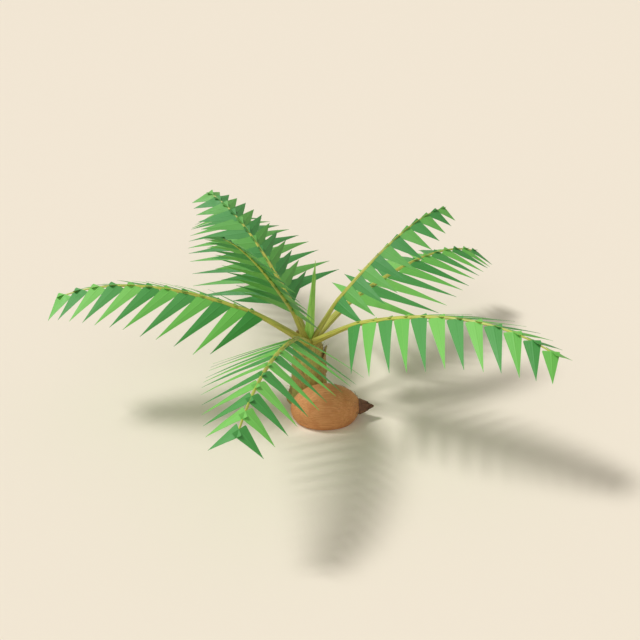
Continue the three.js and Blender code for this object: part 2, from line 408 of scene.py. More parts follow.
def add_node(
    tree: bpy.types.NodeTree,
    kind: str,
    settings: dict[str, object] | None = None,
    inputs: dict[str | int, object] | None = None,
    stops: tuple[tuple[float, str], ...] = (),
) -> bpy.types.Node:
    """Adds a node with its settings, values and links.

    Args:
        tree: The material's node tree.
        kind: The node's type.
        settings: Its own settings by name.
        inputs: Values, or the sockets of other nodes, by input name or number.
        stops: On a colour ramp, places from 0 to 1 with their sRGB colours.

    Returns:
        The new node.
    """
    node = tree.nodes.new(kind)
    for name, value in (settings or {}).items():
        setattr(node, name, value)
    for key, value in (inputs or {}).items():
        if isinstance(value, bpy.types.NodeSocket):
            tree.links.new(value, node.inputs[key])
        else:
            node.inputs[key].default_value = value
    if stops:
        elements = node.color_ramp.elements
        while len(elements) < len(stops):
            elements.new(NOISE_MIDDLE)
        for element, (place, code) in zip(elements, stops):
            element.position = place
            element.color = linear(code)
    return node


@dataclass(frozen=True)
class Finish:
    """What every finish of the palm shares.

    Attributes:
        name: What the material is.
    """

    name: str

    def start(self, source: Source) -> tuple[bpy.types.Material, bpy.types.NodeTree, bpy.types.NodeSocket]:
        """Starts the material.

        Args:
            source: What its patterns are laid out on.

        Returns:
            The material, its node tree, and the socket that its patterns read their place from.
        """
        material = bpy.data.materials.new(self.name)
        material.use_nodes = True
        tree = material.node_tree
        if source is Source.OBJECT:
            place = add_node(tree, "ShaderNodeTexCoord").outputs["Object"]
        else:
            place = add_node(tree, "ShaderNodeAttribute", {"attribute_name": STRAIGHT}).outputs["Vector"]
        return material, tree, place

    def give_skin(
        self,
        tree: bpy.types.NodeTree,
        patches: bpy.types.NodeSocket,
        roughness: tuple[float, float],
        pattern: bpy.types.NodeSocket,
        strength: float,
        relief: float,
    ) -> None:
        """Gives the shader a patchy roughness and a fine relief.

        Args:
            tree: The material's node tree.
            patches: Noise that the roughness follows.
            roughness: Roughness where that noise is low and where it is high.
            pattern: Pattern that stands out, from 0 to 1.
            strength: Strength of the relief.
            relief: Its height, in millimetres.
        """
        shader = tree.nodes["Principled BSDF"]
        low, high = roughness
        rough = add_node(
            tree, "ShaderNodeMapRange",
            inputs={"Value": patches, "From Min": NOISE_LOW, "From Max": NOISE_HIGH,
                    "To Min": low, "To Max": high},
        ).outputs["Result"]
        tree.links.new(rough, shader.inputs["Roughness"])
        bump = add_node(
            tree, "ShaderNodeBump", inputs={"Height": pattern, "Strength": strength, "Distance": relief * MM},
        ).outputs["Normal"]
        tree.links.new(bump, shader.inputs["Normal"])


@dataclass(frozen=True)
class FibrousFinish(Finish):
    """Finish of a plant part whose fibres give it a streaky, mottled surface.

    Attributes:
        shades: Colours from the grooves between fibres to their crests.
        stain: Colour of patches that differ in tone from the rest, laid out at random by a noise.
        stain_size: Distance between such patches, in millimetres.
        stain_share: How much of the surface they take, from 0 to 1.
        grain: Spacing of the streaks along X, Y and Z, in millimetres.
        relief: Height of the bump, in millimetres.
        roughness: Lowest and highest roughness.
        source: What the streaks are laid out on.
        stain_edges: Noise above which a patch starts, when patches take nothing and when they take all.
        stain_blend: How far below and above that it fades in.
        stain_strength: How fully it covers.
    """

    shades: tuple[str, str, str]
    stain: str
    stain_size: float
    stain_share: float
    grain: tuple[float, float, float]
    relief: float
    roughness: tuple[float, float]
    source: Source = Source.OBJECT
    stain_edges: tuple[float, float] = (0.72, 0.30)
    stain_blend: float = 0.12
    stain_strength: float = 0.85

    def material(self) -> bpy.types.Material:
        """Makes the material."""
        material, tree, place = self.start(self.source)
        scale = tuple(1 / (size * MM) for size in self.grain)
        laid = add_node(tree, "ShaderNodeMapping", inputs={"Vector": place, "Scale": scale}).outputs["Vector"]
        grain = add_node(
            tree, "ShaderNodeTexNoise",
            inputs={"Vector": laid, "Scale": 1.0, "Detail": 4.0, "Roughness": 0.6},
        ).outputs["Fac"]
        patches = add_node(
            tree, "ShaderNodeTexNoise",
            inputs={"Vector": place, "Scale": 1 / (self.stain_size * MM), "Detail": 3.0, "Roughness": 0.55},
        ).outputs["Fac"]
        edge, blend = lerp(*self.stain_edges, self.stain_share), self.stain_blend
        stained = add_node(
            tree, "ShaderNodeMapRange",
            inputs={"Value": patches, "From Min": edge - blend, "From Max": edge + blend,
                    "To Max": self.stain_strength},
        ).outputs["Result"]
        stops = tuple(zip((NOISE_LOW, NOISE_MIDDLE, NOISE_HIGH), self.shades))
        color = add_node(tree, "ShaderNodeValToRGB", inputs={"Fac": grain}, stops=stops).outputs["Color"]
        mixed = add_node(
            tree, "ShaderNodeMix", {"data_type": "RGBA"},
            {MIX_SHARE: stained, MIX_UNDER: color, MIX_OVER: linear(self.stain)},
        ).outputs[MIX_RESULT]
        tree.links.new(mixed, tree.nodes["Principled BSDF"].inputs["Base Color"])
        self.give_skin(tree, grain, self.roughness[::-1], grain, 0.8, self.relief)
        return material


@dataclass(frozen=True)
class BladeFinish(Finish):
    """Finish of a leaflet's blade: one plain green with fine parallel veins in its waxy skin.

    Attributes:
        color: The blade's colour.
        roughness: Mean roughness of the skin.
        roughness_spread: How far the roughness goes below and above that.
        vein_spacing: Distance between veins, in millimetres: drawn about three times as coarse as in life, so
            that they show in a close view.
        vein_relief: How far the veins stand out, in millimetres.
    """

    color: str
    roughness: float = 0.55
    roughness_spread: float = 0.07
    vein_spacing: float = 4.0
    vein_relief: float = 0.35

    def material(self) -> bpy.types.Material:
        """Makes the material."""
        material, tree, place = self.start(Source.STRAIGHT)
        tree.nodes["Principled BSDF"].inputs["Base Color"].default_value = linear(self.color)
        # A Wave node of scale 1 has a band every TURN / 20 units
        bands = TURN / 20 / (self.vein_spacing * MM)
        veins = add_node(
            tree, "ShaderNodeTexWave", {"wave_type": "BANDS", "bands_direction": "Y", "wave_profile": "SIN"},
            {"Vector": place, "Scale": bands, "Distortion": 0.6, "Detail": 1.0, "Detail Scale": 0.4},
        ).outputs["Fac"]
        bloom = add_node(
            tree, "ShaderNodeTexNoise", inputs={"Vector": place, "Scale": 40.0, "Detail": 2.0},
        ).outputs["Fac"]
        roughness = (self.roughness - self.roughness_spread, self.roughness + self.roughness_spread)
        self.give_skin(tree, bloom, roughness, veins, 0.5, self.vein_relief)
        return material


@dataclass(frozen=True)
class PetioleFinish(Finish):
    """Finish of a petiole and midrib: satin yellow-green, browner at the crown, greener towards the tip.

    Attributes:
        along: Colours at distances from the crown, in metres.
        reach: Distance at which the last colour is reached, in metres.
        fibres: Fibres to a metre across it, through it and along it.
        groove_shades: What the colour is multiplied by in the grooves between fibres and on their crests.
        groove_strength: How fully the grooves show.
        roughness: Roughness in the grooves and on the crests.
        relief: How far the fibres stand out, in millimetres.
    """

    along: tuple[tuple[float, str], ...]
    reach: float = 0.9
    fibres: tuple[float, float, float] = (300.0, 300.0, 14.0)
    groove_shades: tuple[tuple[float, str], ...] = ((0.32, "#8f8f80"), (0.55, "#ffffff"))
    groove_strength: float = 0.55
    roughness: tuple[float, float] = (0.5, 0.36)
    relief: float = 0.5

    def material(self) -> bpy.types.Material:
        """Makes the material."""
        material, tree, place = self.start(Source.STRAIGHT)
        distance = add_node(tree, "ShaderNodeSeparateXYZ", inputs={"Vector": place}).outputs["Z"]
        share = add_node(
            tree, "ShaderNodeMapRange", inputs={"Value": distance, "From Min": 0.0, "From Max": self.reach},
        ).outputs["Result"]
        stops = tuple((metres / self.reach, code) for metres, code in self.along)
        color = add_node(tree, "ShaderNodeValToRGB", inputs={"Fac": share}, stops=stops).outputs["Color"]
        laid = add_node(
            tree, "ShaderNodeMapping", inputs={"Vector": place, "Scale": self.fibres},
        ).outputs["Vector"]
        fibres = add_node(
            tree, "ShaderNodeTexNoise", inputs={"Vector": laid, "Scale": 1.0, "Detail": 3.0},
        ).outputs["Fac"]
        grooves = add_node(tree, "ShaderNodeValToRGB", inputs={"Fac": fibres}, stops=self.groove_shades)
        mixed = add_node(
            tree, "ShaderNodeMix", {"data_type": "RGBA", "blend_type": "MULTIPLY"},
            {MIX_SHARE: self.groove_strength, MIX_UNDER: color, MIX_OVER: grooves.outputs["Color"]},
        ).outputs[MIX_RESULT]
        tree.links.new(mixed, tree.nodes["Principled BSDF"].inputs["Base Color"])
        self.give_skin(tree, fibres, self.roughness, fibres, 0.5, self.relief)
        return material


@dataclass(frozen=True)
class LeafletTones:
    """Greens of the leaflets on one kind of frond: living leaf under a thin wax, satin and never glossy. One
    such set is a tone darker as painted shade.

    Attributes:
        name: What the leaflets' materials are called.
        blades: Colours of the lighter and of the darker blades.
        midribs: Colours of the lighter and of the darker blades' own midribs, which are pale, smooth strands.
        midrib_roughness: Mean roughness of those midribs.
    """

    name: str
    blades: tuple[tuple[str, str, str], tuple[str, str, str]]
    midribs: tuple[str, str]
    midrib_roughness: float = 0.5

    def materials(self) -> list[bpy.types.Material]:
        """Makes three light blades, three dark ones, a light midrib and a dark one, in this order."""
        finishes = []
        for tint in Tint:
            for number, color in enumerate(self.blades[tint.value], 1):
                finishes.append(BladeFinish(f"{self.name} {tint.name.lower()} {number}", color))
        for tint in Tint:
            midrib = f"{self.name} midrib {tint.name.lower()}"
            finishes.append(BladeFinish(midrib, self.midribs[tint.value], self.midrib_roughness))
        return [finish.material() for finish in finishes]


FRESH_LEAFLETS = LeafletTones(
    "leaflet", (("#74c455", "#7bc85a", "#6ebf52"), ("#4a9c47", "#50a04c", "#459743")), ("#7ac659", "#4d9e49"),
)
# Leaflets of the steep fronds in the middle and at the back left take painted shade: the same greens a tone
# darker, for the shade that these fronds lie in under the others
PAINTED_SHADE_LEAFLETS = LeafletTones(
    "painted shade leaflet", (("#64ae4d", "#6ab251", "#5faa4a"), ("#489748", "#4f994c", "#439144")),
    ("#69b050", "#4b984a"),
)
# A few leaflets have died back at the very tip, to a matt straw colour
DRY_TIP = BladeFinish("dry leaflet tip", "#a68a4e", 0.7)
# Petiole skin is hard and satin, over lengthwise fibres
PETIOLE = PetioleFinish(
    "petiole skin", ((0.0, "#a8a348"), (0.1, "#b9b950"), (0.3, "#c4c555"), (0.9, "#b9c653")),
)
# Swollen root of each leaflet: corky, matt and a yellower green than the blade
CUSHION = BladeFinish("leaflet cushion", "#84a145", 0.6)
# Young stem: matt, its fibres upright, olive where it is still alive
BARK = FibrousFinish(
    "fibrous palm stem", shades=("#998b4c", "#b8a95c", "#cabb70"), stain="#aab05a", stain_size=60.0,
    stain_share=0.45, grain=(4.0, 4.0, 45.0), relief=0.9, roughness=(0.72, 0.92),
)
# Old leaf base: dead, dry and papery, with coarse strands in it
LEAF_BASE = FibrousFinish(
    "dry leaf base", shades=("#957546", "#b5985c", "#c6ab72"), stain="#aca65c", stain_size=48.0,
    stain_share=0.5, grain=(3.2, 3.2, 60.0), relief=0.8, roughness=(0.75, 0.95),
)
# Spear leaf: tender, closely pleated, smoother than the open leaflets
SPEAR = FibrousFinish(
    "folded young leaf", shades=("#8fcb56", "#a2db66", "#b8e579"), stain="#acd567", stain_size=70.0,
    stain_share=0.2, grain=(2.6, 2.6, 160.0), relief=0.5, roughness=(0.36, 0.5), source=Source.STRAIGHT,
)
# Husk: a dry skin over coir, whose strands run from end to end
HUSK = FibrousFinish(
    "dry coconut husk", shades=("#b97c48", "#cd8f56", "#d99d63"), stain="#c28049", stain_size=42.0,
    stain_share=0.35, grain=(70.0, 4.0, 4.0), relief=0.35, roughness=(0.6, 0.85), source=Source.STRAIGHT,
)
# Scales of the stem end: thin, hard and almost black-brown
SCALE = FibrousFinish(
    "dried stem scales", shades=("#4d3120", "#6d4830", "#845a3c"), stain="#5a3a22", stain_size=25.0,
    stain_share=0.4, grain=(26.0, 3.0, 3.0), relief=0.7, roughness=(0.55, 0.8), source=Source.STRAIGHT,
)
# Loose coir strands: dead, dry and dull, in three browns
COIR = tuple(
    BladeFinish(f"coir strand {shade}", color, 0.85)
    for shade, color in (("pale", "#a3825a"), ("brown", "#7d5a38"), ("dark", "#543a24"))
)


# Crown


@dataclass(frozen=True)
class MidribLine:
    """Line of a midrib: an arc whose slope falls faster towards the tip, and that may turn to the side.

    Attributes:
        azimuth: Direction that it starts in from +X, anticlockwise seen from above, in degrees.
        turn: How far it turns from that by the tip, in degrees.
        length: Length along the midrib.
        rise: Slope where it leaves the crown, in degrees.
        tip_slope: Slope at the tip, in degrees.
        foot: Where the petiole starts, from the start of its arc.
        arc_height: Height at which all arcs start on the trunk's axis.
        bend_power: Power of the share of the length that the slope changes by.
        foot_share: Share of the length over which the petiole runs in to its arc.
        foot_power: Power that shapes that run.
        steps: Steps that the arc is summed up in.
    """

    azimuth: float
    turn: float
    length: float
    rise: float
    tip_slope: float
    foot: tuple[float, float, float] = (0.0, 0.0, -0.050)
    arc_height: float = 0.312
    bend_power: float = 2.4
    foot_share: float = 0.24
    foot_power: float = 1.25
    steps: int = 60

    def outwards(self, t: np.ndarray) -> np.ndarray:
        """Level directions that the arc heads in at shares t of the length."""
        angle = np.radians(self.azimuth + self.turn * t)
        return np.stack([np.cos(angle), np.sin(angle), np.zeros_like(angle)], -1)

    def right(self, t: np.ndarray) -> np.ndarray:
        """Level directions to the right, looking outwards, at shares t of the length."""
        return np.cross(self.outwards(t), UP)

    def slopes(self, t: np.ndarray) -> np.ndarray:
        """Slope in radians at shares t of the length."""
        return np.radians(self.rise + (self.tip_slope - self.rise) * np.maximum(t, 0) ** self.bend_power)

    def left(self, t: np.ndarray) -> np.ndarray:
        """What is left of the foot's offset at shares t of the length, from 1 at the crown to 0."""
        return np.maximum(1 - t / self.foot_share, 0)

    def points(self, t: np.ndarray) -> np.ndarray:
        """Points at shares t of the length."""
        middles = (np.arange(self.steps) + 0.5) / self.steps
        slopes = self.slopes(middles)[:, None]
        strides = (np.cos(slopes) * self.outwards(middles) + np.sin(slopes) * UP) * self.length / self.steps
        marks = np.concatenate([np.zeros((1, 3)), np.cumsum(strides, 0)])
        shares = np.linspace(0, 1, self.steps + 1)
        points = np.stack([np.interp(t, shares, marks[:, axis]) for axis in range(3)], -1)
        offset = (self.left(t) ** self.foot_power)[..., None] * np.array(self.foot)
        return points + self.arc_height * UP + offset

    def tangents(self, t: np.ndarray) -> np.ndarray:
        """Directions towards the tip at shares t of the length."""
        slopes = self.slopes(t)
        running_in = self.foot_power / self.foot_share * self.left(t) ** (self.foot_power - 1) / self.length
        arc = np.cos(slopes)[..., None] * self.outwards(t) + np.sin(slopes)[..., None] * UP
        return unit(arc - running_in[..., None] * np.array(self.foot))

    def normals(self, t: np.ndarray) -> np.ndarray:
        """Directions square to the line, on its upper side, at shares t of the length."""
        return np.cross(self.right(t), self.tangents(t))


@dataclass(frozen=True)
class MidribShape:
    """Sizes of a petiole and midrib, and of the cushions that the leaflets stand on.

    Attributes:
        stations: Shares of the length at which a grown frond's widths and heights are given.
        widths: Full widths there.
        heights: Full heights there.
        young_shares: What a young frond has of them, at the crown and at the tip.
        seats: How far from the trunk's axis a young and a grown frond's petiole leaves the crown.
        sheath_share: Share of the bar that goes down inside the trunk.
        sheath_depth: How far its end lies below the point that it bends round.
        sheath_bend: How far back that point lies from where the petiole leaves the crown.
        crowding: Power by which the bar's rings are closer together near the crown.
        channel_floor: What the petiole's upper side keeps in its middle of a round bar's height.
        channel_power: Power by which it gets back to that height towards its sides.
        ridge_roundness: How round the midrib's upper side is past the channel, from 0 for a sharp ridge to 1.
        channel_end: Share of the length where the channel starts to turn into a ridge.
        channel_fade: Share of the length that this takes.
        ribs: Fine ribs round the bar.
        rib_height: Their height against the bar's own.
        cushion: Half of the first cushion's length, width and height.
        cushion_middle: Its middle along, across and above its leaflet's root.
        cushion_tip_share: What the last cushion has of both.
    """

    stations: tuple[float, ...] = (0, 0.06, 0.2, 0.6, 1)
    widths: tuple[float, ...] = (0.045, 0.038, 0.029, 0.017, 0.007)
    heights: tuple[float, ...] = (0.038, 0.031, 0.022, 0.013, 0.006)
    young_shares: tuple[float, float] = (0.78, 0.72)
    seats: tuple[float, float] = (0.010, 0.032)
    sheath_share: float = 0.10
    sheath_depth: float = 0.03
    sheath_bend: float = 0.018
    crowding: float = 1.2
    channel_floor: float = 0.72
    channel_power: float = 1.5
    ridge_roundness: float = 0.45
    channel_end: float = 0.17
    channel_fade: float = 0.12
    ribs: int = 11
    rib_height: float = 0.02
    cushion: tuple[float, float, float] = (0.009, 0.0095, 0.0046)
    cushion_middle: tuple[float, float, float] = (0.008, 0, -0.0052)
    cushion_tip_share: float = 0.5

    def section(self, angle: np.ndarray, t: np.ndarray) -> tuple[np.ndarray, np.ndarray]:
        """Cross-section: a channelled petiole that turns into a ridged midrib.

        Args:
            angle: Angles round the bar, in radians.
            t: Shares of the length.

        Returns:
            Places across and above the middle, as shares of half the width and half the height.
        """
        side, up = np.cos(angle), np.sin(angle)
        channel = up * lerp(self.channel_floor, 1, np.abs(side) ** self.channel_power)
        ridge = lerp((1 - np.abs(side)) * np.sign(up), up, self.ridge_roundness)
        above = lerp(channel, ridge, smooth((t - self.channel_end) / self.channel_fade))
        rib = 1 + self.rib_height * np.cos(self.ribs * angle)
        return side * rib, np.where(up > 0, above, up) * rib


@dataclass(frozen=True)
class LeafletSet:
    """How one frond's leaflets stand. Angles are in degrees.

    Attributes:
        forward: How far they point forward of square to the midrib, at the first pair.
        droop: How far they droop below the frond's own plane.
        size: Their length against the usual, at the first pair.
        tip_size: The same at the last pair.
        first_tint: Tint of the first pair.
        first_station: Where the first pair stands, as a share of the midrib's length.
        roll: How far the frond is rolled about its midrib, its right side up.
    """

    forward: float
    droop: float
    size: float
    tip_size: float
    first_tint: Tint
    first_station: float = 0.229
    roll: float = 0.0


@dataclass(frozen=True)
class LeafletShape:
    """Sizes of the leaflets, and the small differences between them.

    Attributes:
        pairs: Pairs on a frond.
        faces: Faces along and across a leaflet.
        length: Length at the first pair, as a share of the midrib's length.
        tip_length: The same at the last pair.
        length_bow: What the pairs half way have more than the line between these.
        half_width: Half the width at the first pair.
        tip_half_width: The same at the last pair.
        narrowest: Least half width, and half the width of the leaflet's midrib at its tip.
        root_share: Share of the width at the root.
        shoulder: Share of the length at which the full width is reached.
        taper_power: Power that shapes the taper from there.
        crowding: Power by which the faces are shorter near the root.
        forward_gain: Degrees that the last pair points further forward than the first.
        forward_power: Power that shapes this gain.
        fold: Slope of the blade down from its midrib.
        root_fold: The same at the root.
        fold_end: Share of the length at which the full fold is reached.
        midrib: Half the width of the leaflet's midrib at its root.
        midrib_limit: Most of the half width that it takes.
        crest: How far it stands out on top.
        thickness: Thickness of the blade.
        midrib_thickness: Thickness of the midrib.
        thinning: Share of both that is lost by the tip.
        pleats: Pleats on each side.
        pleat_height: Height of a pleat.
        pleat_start: Share of the length at which the pleats have their full height.
        ripple: Height of the waves in the edge.
        ripple_shares: Least and most that a leaflet has of this height.
        ripple_waves: Fewest and most waves along the edge.
        angle_spreads: Degrees by which leaflets differ either way in forward angle and in droop.
        lengths: Shortest and longest against the usual.
        widths: Narrowest and widest against the usual.
        bows: Least and most that the middle rises above the line from root to tip, as shares of it.
        sickles: Least and most that the tip curves towards the frond's tip, as shares of the length.
        rolls: Most degrees that the whole leaflet, and its tip besides, are rolled either way.
        dry_chance: Share of the leaflets with a dry tip.
        dry_from: Share of the length at which a dry tip starts.
        collar: Share of the length at the root that has the midrib's colour.
        root_lift: How far above the midrib's line a root on its side stands.
        root_lift_share: What is added to that, as a share of half the midrib's height.
        top_gap: How far a root stands above the midrib's top.
        climb_start: Place among the pairs, from 0 to 1, where a young frond's roots move onto its top.
        climb: Share of the pairs that this takes.
        overlap: How far such a root reaches past the middle, as a share of half the midrib's width.
        pattern_step: Distance between the pairs in the veins' pattern, so that no leaflet repeats another.
    """

    pairs: int = 12
    faces: tuple[int, int] = (20, 24)
    length: float = 0.333
    tip_length: float = 0.114
    length_bow: float = 0.034
    half_width: float = 0.0338
    tip_half_width: float = 0.0325
    narrowest: float = 0.0006
    root_share: float = 0.95
    shoulder: float = 0.03
    taper_power: float = 1.04
    crowding: float = 1.15
    forward_gain: float = 13.0
    forward_power: float = 0.75
    fold: float = 0.09
    root_fold: float = 0.05
    fold_end: float = 0.2
    midrib: float = 0.0010
    midrib_limit: float = 0.4
    crest: float = 0.0003
    thickness: float = 0.0009
    midrib_thickness: float = 0.0017
    thinning: float = 0.5
    pleats: float = 3.0
    pleat_height: float = 0.00022
    pleat_start: float = 0.08
    ripple: float = 0.0010
    ripple_shares: tuple[float, float] = (0.4, 1.0)
    ripple_waves: tuple[float, float] = (1.4, 2.4)
    angle_spreads: tuple[float, float] = (1.0, 1.2)
    lengths: tuple[float, float] = (0.98, 1.01)
    widths: tuple[float, float] = (0.97, 1.03)
    bows: tuple[float, float] = (0.004, 0.020)
    sickles: tuple[float, float] = (-0.006, 0.010)
    rolls: tuple[float, float] = (2.0, 5.0)
    dry_chance: float = 0.15
    dry_from: float = 0.975
    collar: float = 0.03
    root_lift: float = 0.0025
    root_lift_share: float = 0.2
    top_gap: float = 0.0008
    climb_start: float = 0.3
    climb: float = 0.4
    overlap: float = 0.8
    pattern_step: float = 0.45

    def rows(self, k: np.ndarray | float) -> np.ndarray | float:
        """Rows of faces from the leaflet's midrib to places k across it, from -1 to 1."""
        return np.abs(k) * self.faces[1] / 2


@dataclass(frozen=True)
class Frond:
    """One frond: its midrib with a channelled petiole, and its folded leaflets.

    Attributes:
        name: Name of the node that it stands for.
        seed: Seed of the leaflets' small differences.
        line: The midrib's line.
        leaflets: How its leaflets stand.
        tones: Greens of its leaflets.
        young: Whether it is one of the inner, younger ones, whose petioles are thinner at the crown.
        midrib: Sizes of its petiole and midrib.
        leaflet: Sizes of its leaflets.
    """

    name: str
    seed: int
    line: MidribLine
    leaflets: LeafletSet
    tones: LeafletTones = FRESH_LEAFLETS
    young: bool = False
    midrib: MidribShape = MidribShape()
    leaflet: LeafletShape = LeafletShape()

    @property
    def slot(self) -> str:
        """Name of its material slot."""
        return "young_frond" if self.young else "frond"

    @property
    def seat(self) -> float:
        """Share of the midrib's length at which the petiole leaves the crown."""
        young, grown = self.midrib.seats
        radius = young if self.young else grown
        return radius / (self.line.length * math.cos(math.radians(self.line.rise)))

    def half_sizes(self, t: np.ndarray) -> tuple[np.ndarray, np.ndarray]:
        """Half of the midrib's width and of its height at shares t of its length."""
        shape = self.midrib
        share = lerp(*shape.young_shares, t) if self.young else 1
        half_width = share * np.interp(t, shape.stations, shape.widths) / 2
        half_height = share * np.interp(t, shape.stations, shape.heights) / 2
        return half_width, half_height

    def spine(self, p: np.ndarray) -> tuple[np.ndarray, np.ndarray, np.ndarray, np.ndarray]:
        """Centre line of the bar from inside the trunk to the tip.

        Args:
            p: Shares of the bar from 0, down in the trunk, to 1 at the tip.

        Returns:
            Points, directions to the right, normals and shares of the midrib's length.
        """
        line, shape, seat = self.line, self.midrib, self.seat
        free = np.clip((p - shape.sheath_share) / (1 - shape.sheath_share), 0, 1)
        t = lerp(seat, 1, free ** shape.crowding)
        right = line.right(t)
        start, direction = line.points(np.array([seat]))[0], line.tangents(np.array([seat]))[0]
        corner = start - direction * shape.sheath_bend
        foot = corner - shape.sheath_depth * UP
        q = np.clip(p / shape.sheath_share, 0, 1)[:, None]
        inside = (p < shape.sheath_share)[:, None]
        bend = foot * (1 - q) ** 2 + corner * 2 * q * (1 - q) + start * q ** 2
        bend_tangents = unit((corner - foot) * 2 * (1 - q) + (start - corner) * 2 * q)
        points = np.where(inside, bend, line.points(t))
        tangents = np.where(inside, bend_tangents, line.tangents(t))
        return points, right, np.cross(right, tangents), t

    def build_midrib(
        self, bar: Template, bead: Template, materials: list[bpy.types.Material],
    ) -> bpy.types.Object:
        """Builds the petiole and midrib with the cushions that its leaflets stand on.

        Args:
            bar: Straight bar template.
            bead: Small ball template.
            materials: Petiole skin and cushion.

        Returns:
            The joined piece.
        """
        shape = self.midrib
        x, y, p = bar.points.T
        points, right, normals, t = self.spine(p)
        half_width, half_height = self.half_sizes(t)
        across, above = shape.section(np.arctan2(-y, x), t)
        across, above = across * half_width, above * half_height
        placed = points + across[:, None] * right + above[:, None] * normals
        bundle = Bundle()
        bundle.add(bar, placed, np.stack([across, above, t * self.line.length], 1), 0)
        for pair in range(self.leaflet.pairs):
            for hand in (-1, 1):
                root, axes, _, u = self.leaflet_frame(pair, hand)
                local = bead.points * np.array(shape.cushion) + np.array(shape.cushion_middle)
                local *= lerp(1.0, shape.cushion_tip_share, u)
                bundle.add(bead, root + local @ axes, local, 1)
        return settle(bundle.piece(f"{self.name}_midrib", materials), self.slot, self.name)

    def leaflet_frame(
        self, pair: int, hand: int, forward_extra: float = 0.0, droop_extra: float = 0.0,
    ) -> tuple[np.ndarray, np.ndarray, float, float]:
        """Place and directions of one leaflet.

        Args:
            pair: Number of the pair from the crown.
            hand: 1 for the right side looking outwards, -1 for the left.
            forward_extra: Degrees added to the forward angle.
            droop_extra: Degrees added to the droop.

        Returns:
            The root, the directions along, across and above it as rows, its length, and its pair's share.
        """
        shape, stand = self.leaflet, self.leaflets
        u = pair / (shape.pairs - 1)
        t = np.array([lerp(stand.first_station, 1, u)])
        place, right = self.line.points(t)[0], self.line.right(t)[0]
        tangent, normal = self.line.tangents(t)[0], self.line.normals(t)[0]
        half_width, half_height = (float(size[0]) for size in self.half_sizes(t))
        forward = math.radians(stand.forward + shape.forward_gain * u ** shape.forward_power + forward_extra)
        droop = math.radians(stand.droop - hand * stand.roll + droop_extra)
        ahead = hand * math.cos(forward) * right + math.sin(forward) * tangent
        along = unit(math.cos(droop) * ahead - math.sin(droop) * normal)
        across = unit(hand * (tangent - tangent.dot(along) * along))
        axes = np.stack([along, across, np.cross(along, across)])
        share = lerp(shape.length, shape.tip_length, u) + 4 * shape.length_bow * u * (1 - u)
        length = self.line.length * share * lerp(stand.size, stand.tip_size, u)
        over = float(smooth((u - shape.climb_start) / shape.climb)) if self.young else 0.0
        lift = lerp(shape.root_lift + half_height * shape.root_lift_share, half_height + shape.top_gap, over)
        root = place + normal * lift - hand * over * shape.overlap * half_width * right
        return root, axes, length, u

    def leaflet_points(
        self, slab: Template, pair: int, hand: int, rng: np.random.Generator,
    ) -> tuple[np.ndarray, np.ndarray]:
        """Bends the straight slab into one folded leaflet.

        Args:
            slab: The slab template, whose middle rows of faces become the leaflet's midrib.
            pair: Number of the pair from the crown.
            hand: Side of the midrib.
            rng: Random numbers of this frond.

        Returns:
            The points in the palm's frame and on the straight leaflet.
        """
        shape = self.leaflet
        extras = [rng.uniform(-spread, spread) for spread in shape.angle_spreads]
        root, (along, across, above), length, u = self.leaflet_frame(pair, hand, *extras)
        length *= rng.uniform(*shape.lengths)
        s = slab.points[:, 0] ** shape.crowding
        k = slab.points[:, 1]
        opening = lerp(shape.root_share, 1, smooth(s / shape.shoulder))
        taper = 1 - np.clip((s - shape.shoulder) / (1 - shape.shoulder), 0, 1) ** shape.taper_power
        widest = lerp(shape.half_width, shape.tip_half_width, u) * rng.uniform(*shape.widths)
        half = np.maximum(widest * opening * taper, shape.narrowest)
        midrib = np.minimum(lerp(shape.midrib, shape.narrowest, s), shape.midrib_limit * half)
        rows = shape.rows(k)
        inner = np.minimum(rows, 1)
        outer = np.clip((rows - 1) / (shape.rows(1) - 1), 0, 1)
        y = np.sign(k) * (inner * midrib + outer * (half - midrib))
        crest = np.exp(-((y / midrib) ** 2))
        fold = lerp(shape.root_fold, shape.fold, smooth(s / shape.fold_end))
        z = -fold * (np.sqrt(y ** 2 + midrib ** 2) - midrib)
        pleats = np.cos(TURN * shape.pleats * outer) * smooth(s / shape.pleat_start)
        z += shape.pleat_height * pleats * (1 - s) * (1 - crest)
        ripple = rng.uniform(*shape.ripple_shares) * shape.ripple * (half / shape.half_width)
        waves = np.sin(TURN * (rng.uniform(*shape.ripple_waves) * s + rng.uniform()) + np.sign(k))
        z += ripple * waves * outer ** 2 + shape.crest * crest * (1 - s)
        thickness = lerp(shape.thickness, shape.midrib_thickness, crest) * (1 - shape.thinning * s)
        depth = slab.points[:, 2] * thickness
        bow = rng.uniform(*shape.bows) * 4 * s * (1 - s)
        sickle = rng.uniform(*shape.sickles) * s ** 2
        whole, tip = (rng.uniform(-roll, roll) for roll in shape.rolls)
        roll = np.radians(whole + tip * s)
        spine = root + length * (s[:, None] * along + bow[:, None] * above + hand * sickle[:, None] * across)
        turned_across = np.cos(roll)[:, None] * across + np.sin(roll)[:, None] * above
        turned_above = np.cos(roll)[:, None] * above - np.sin(roll)[:, None] * across
        points = spine + y[:, None] * turned_across + (z + depth)[:, None] * turned_above
        return points, np.stack([s * length + shape.pattern_step * pair, y, depth], 1)

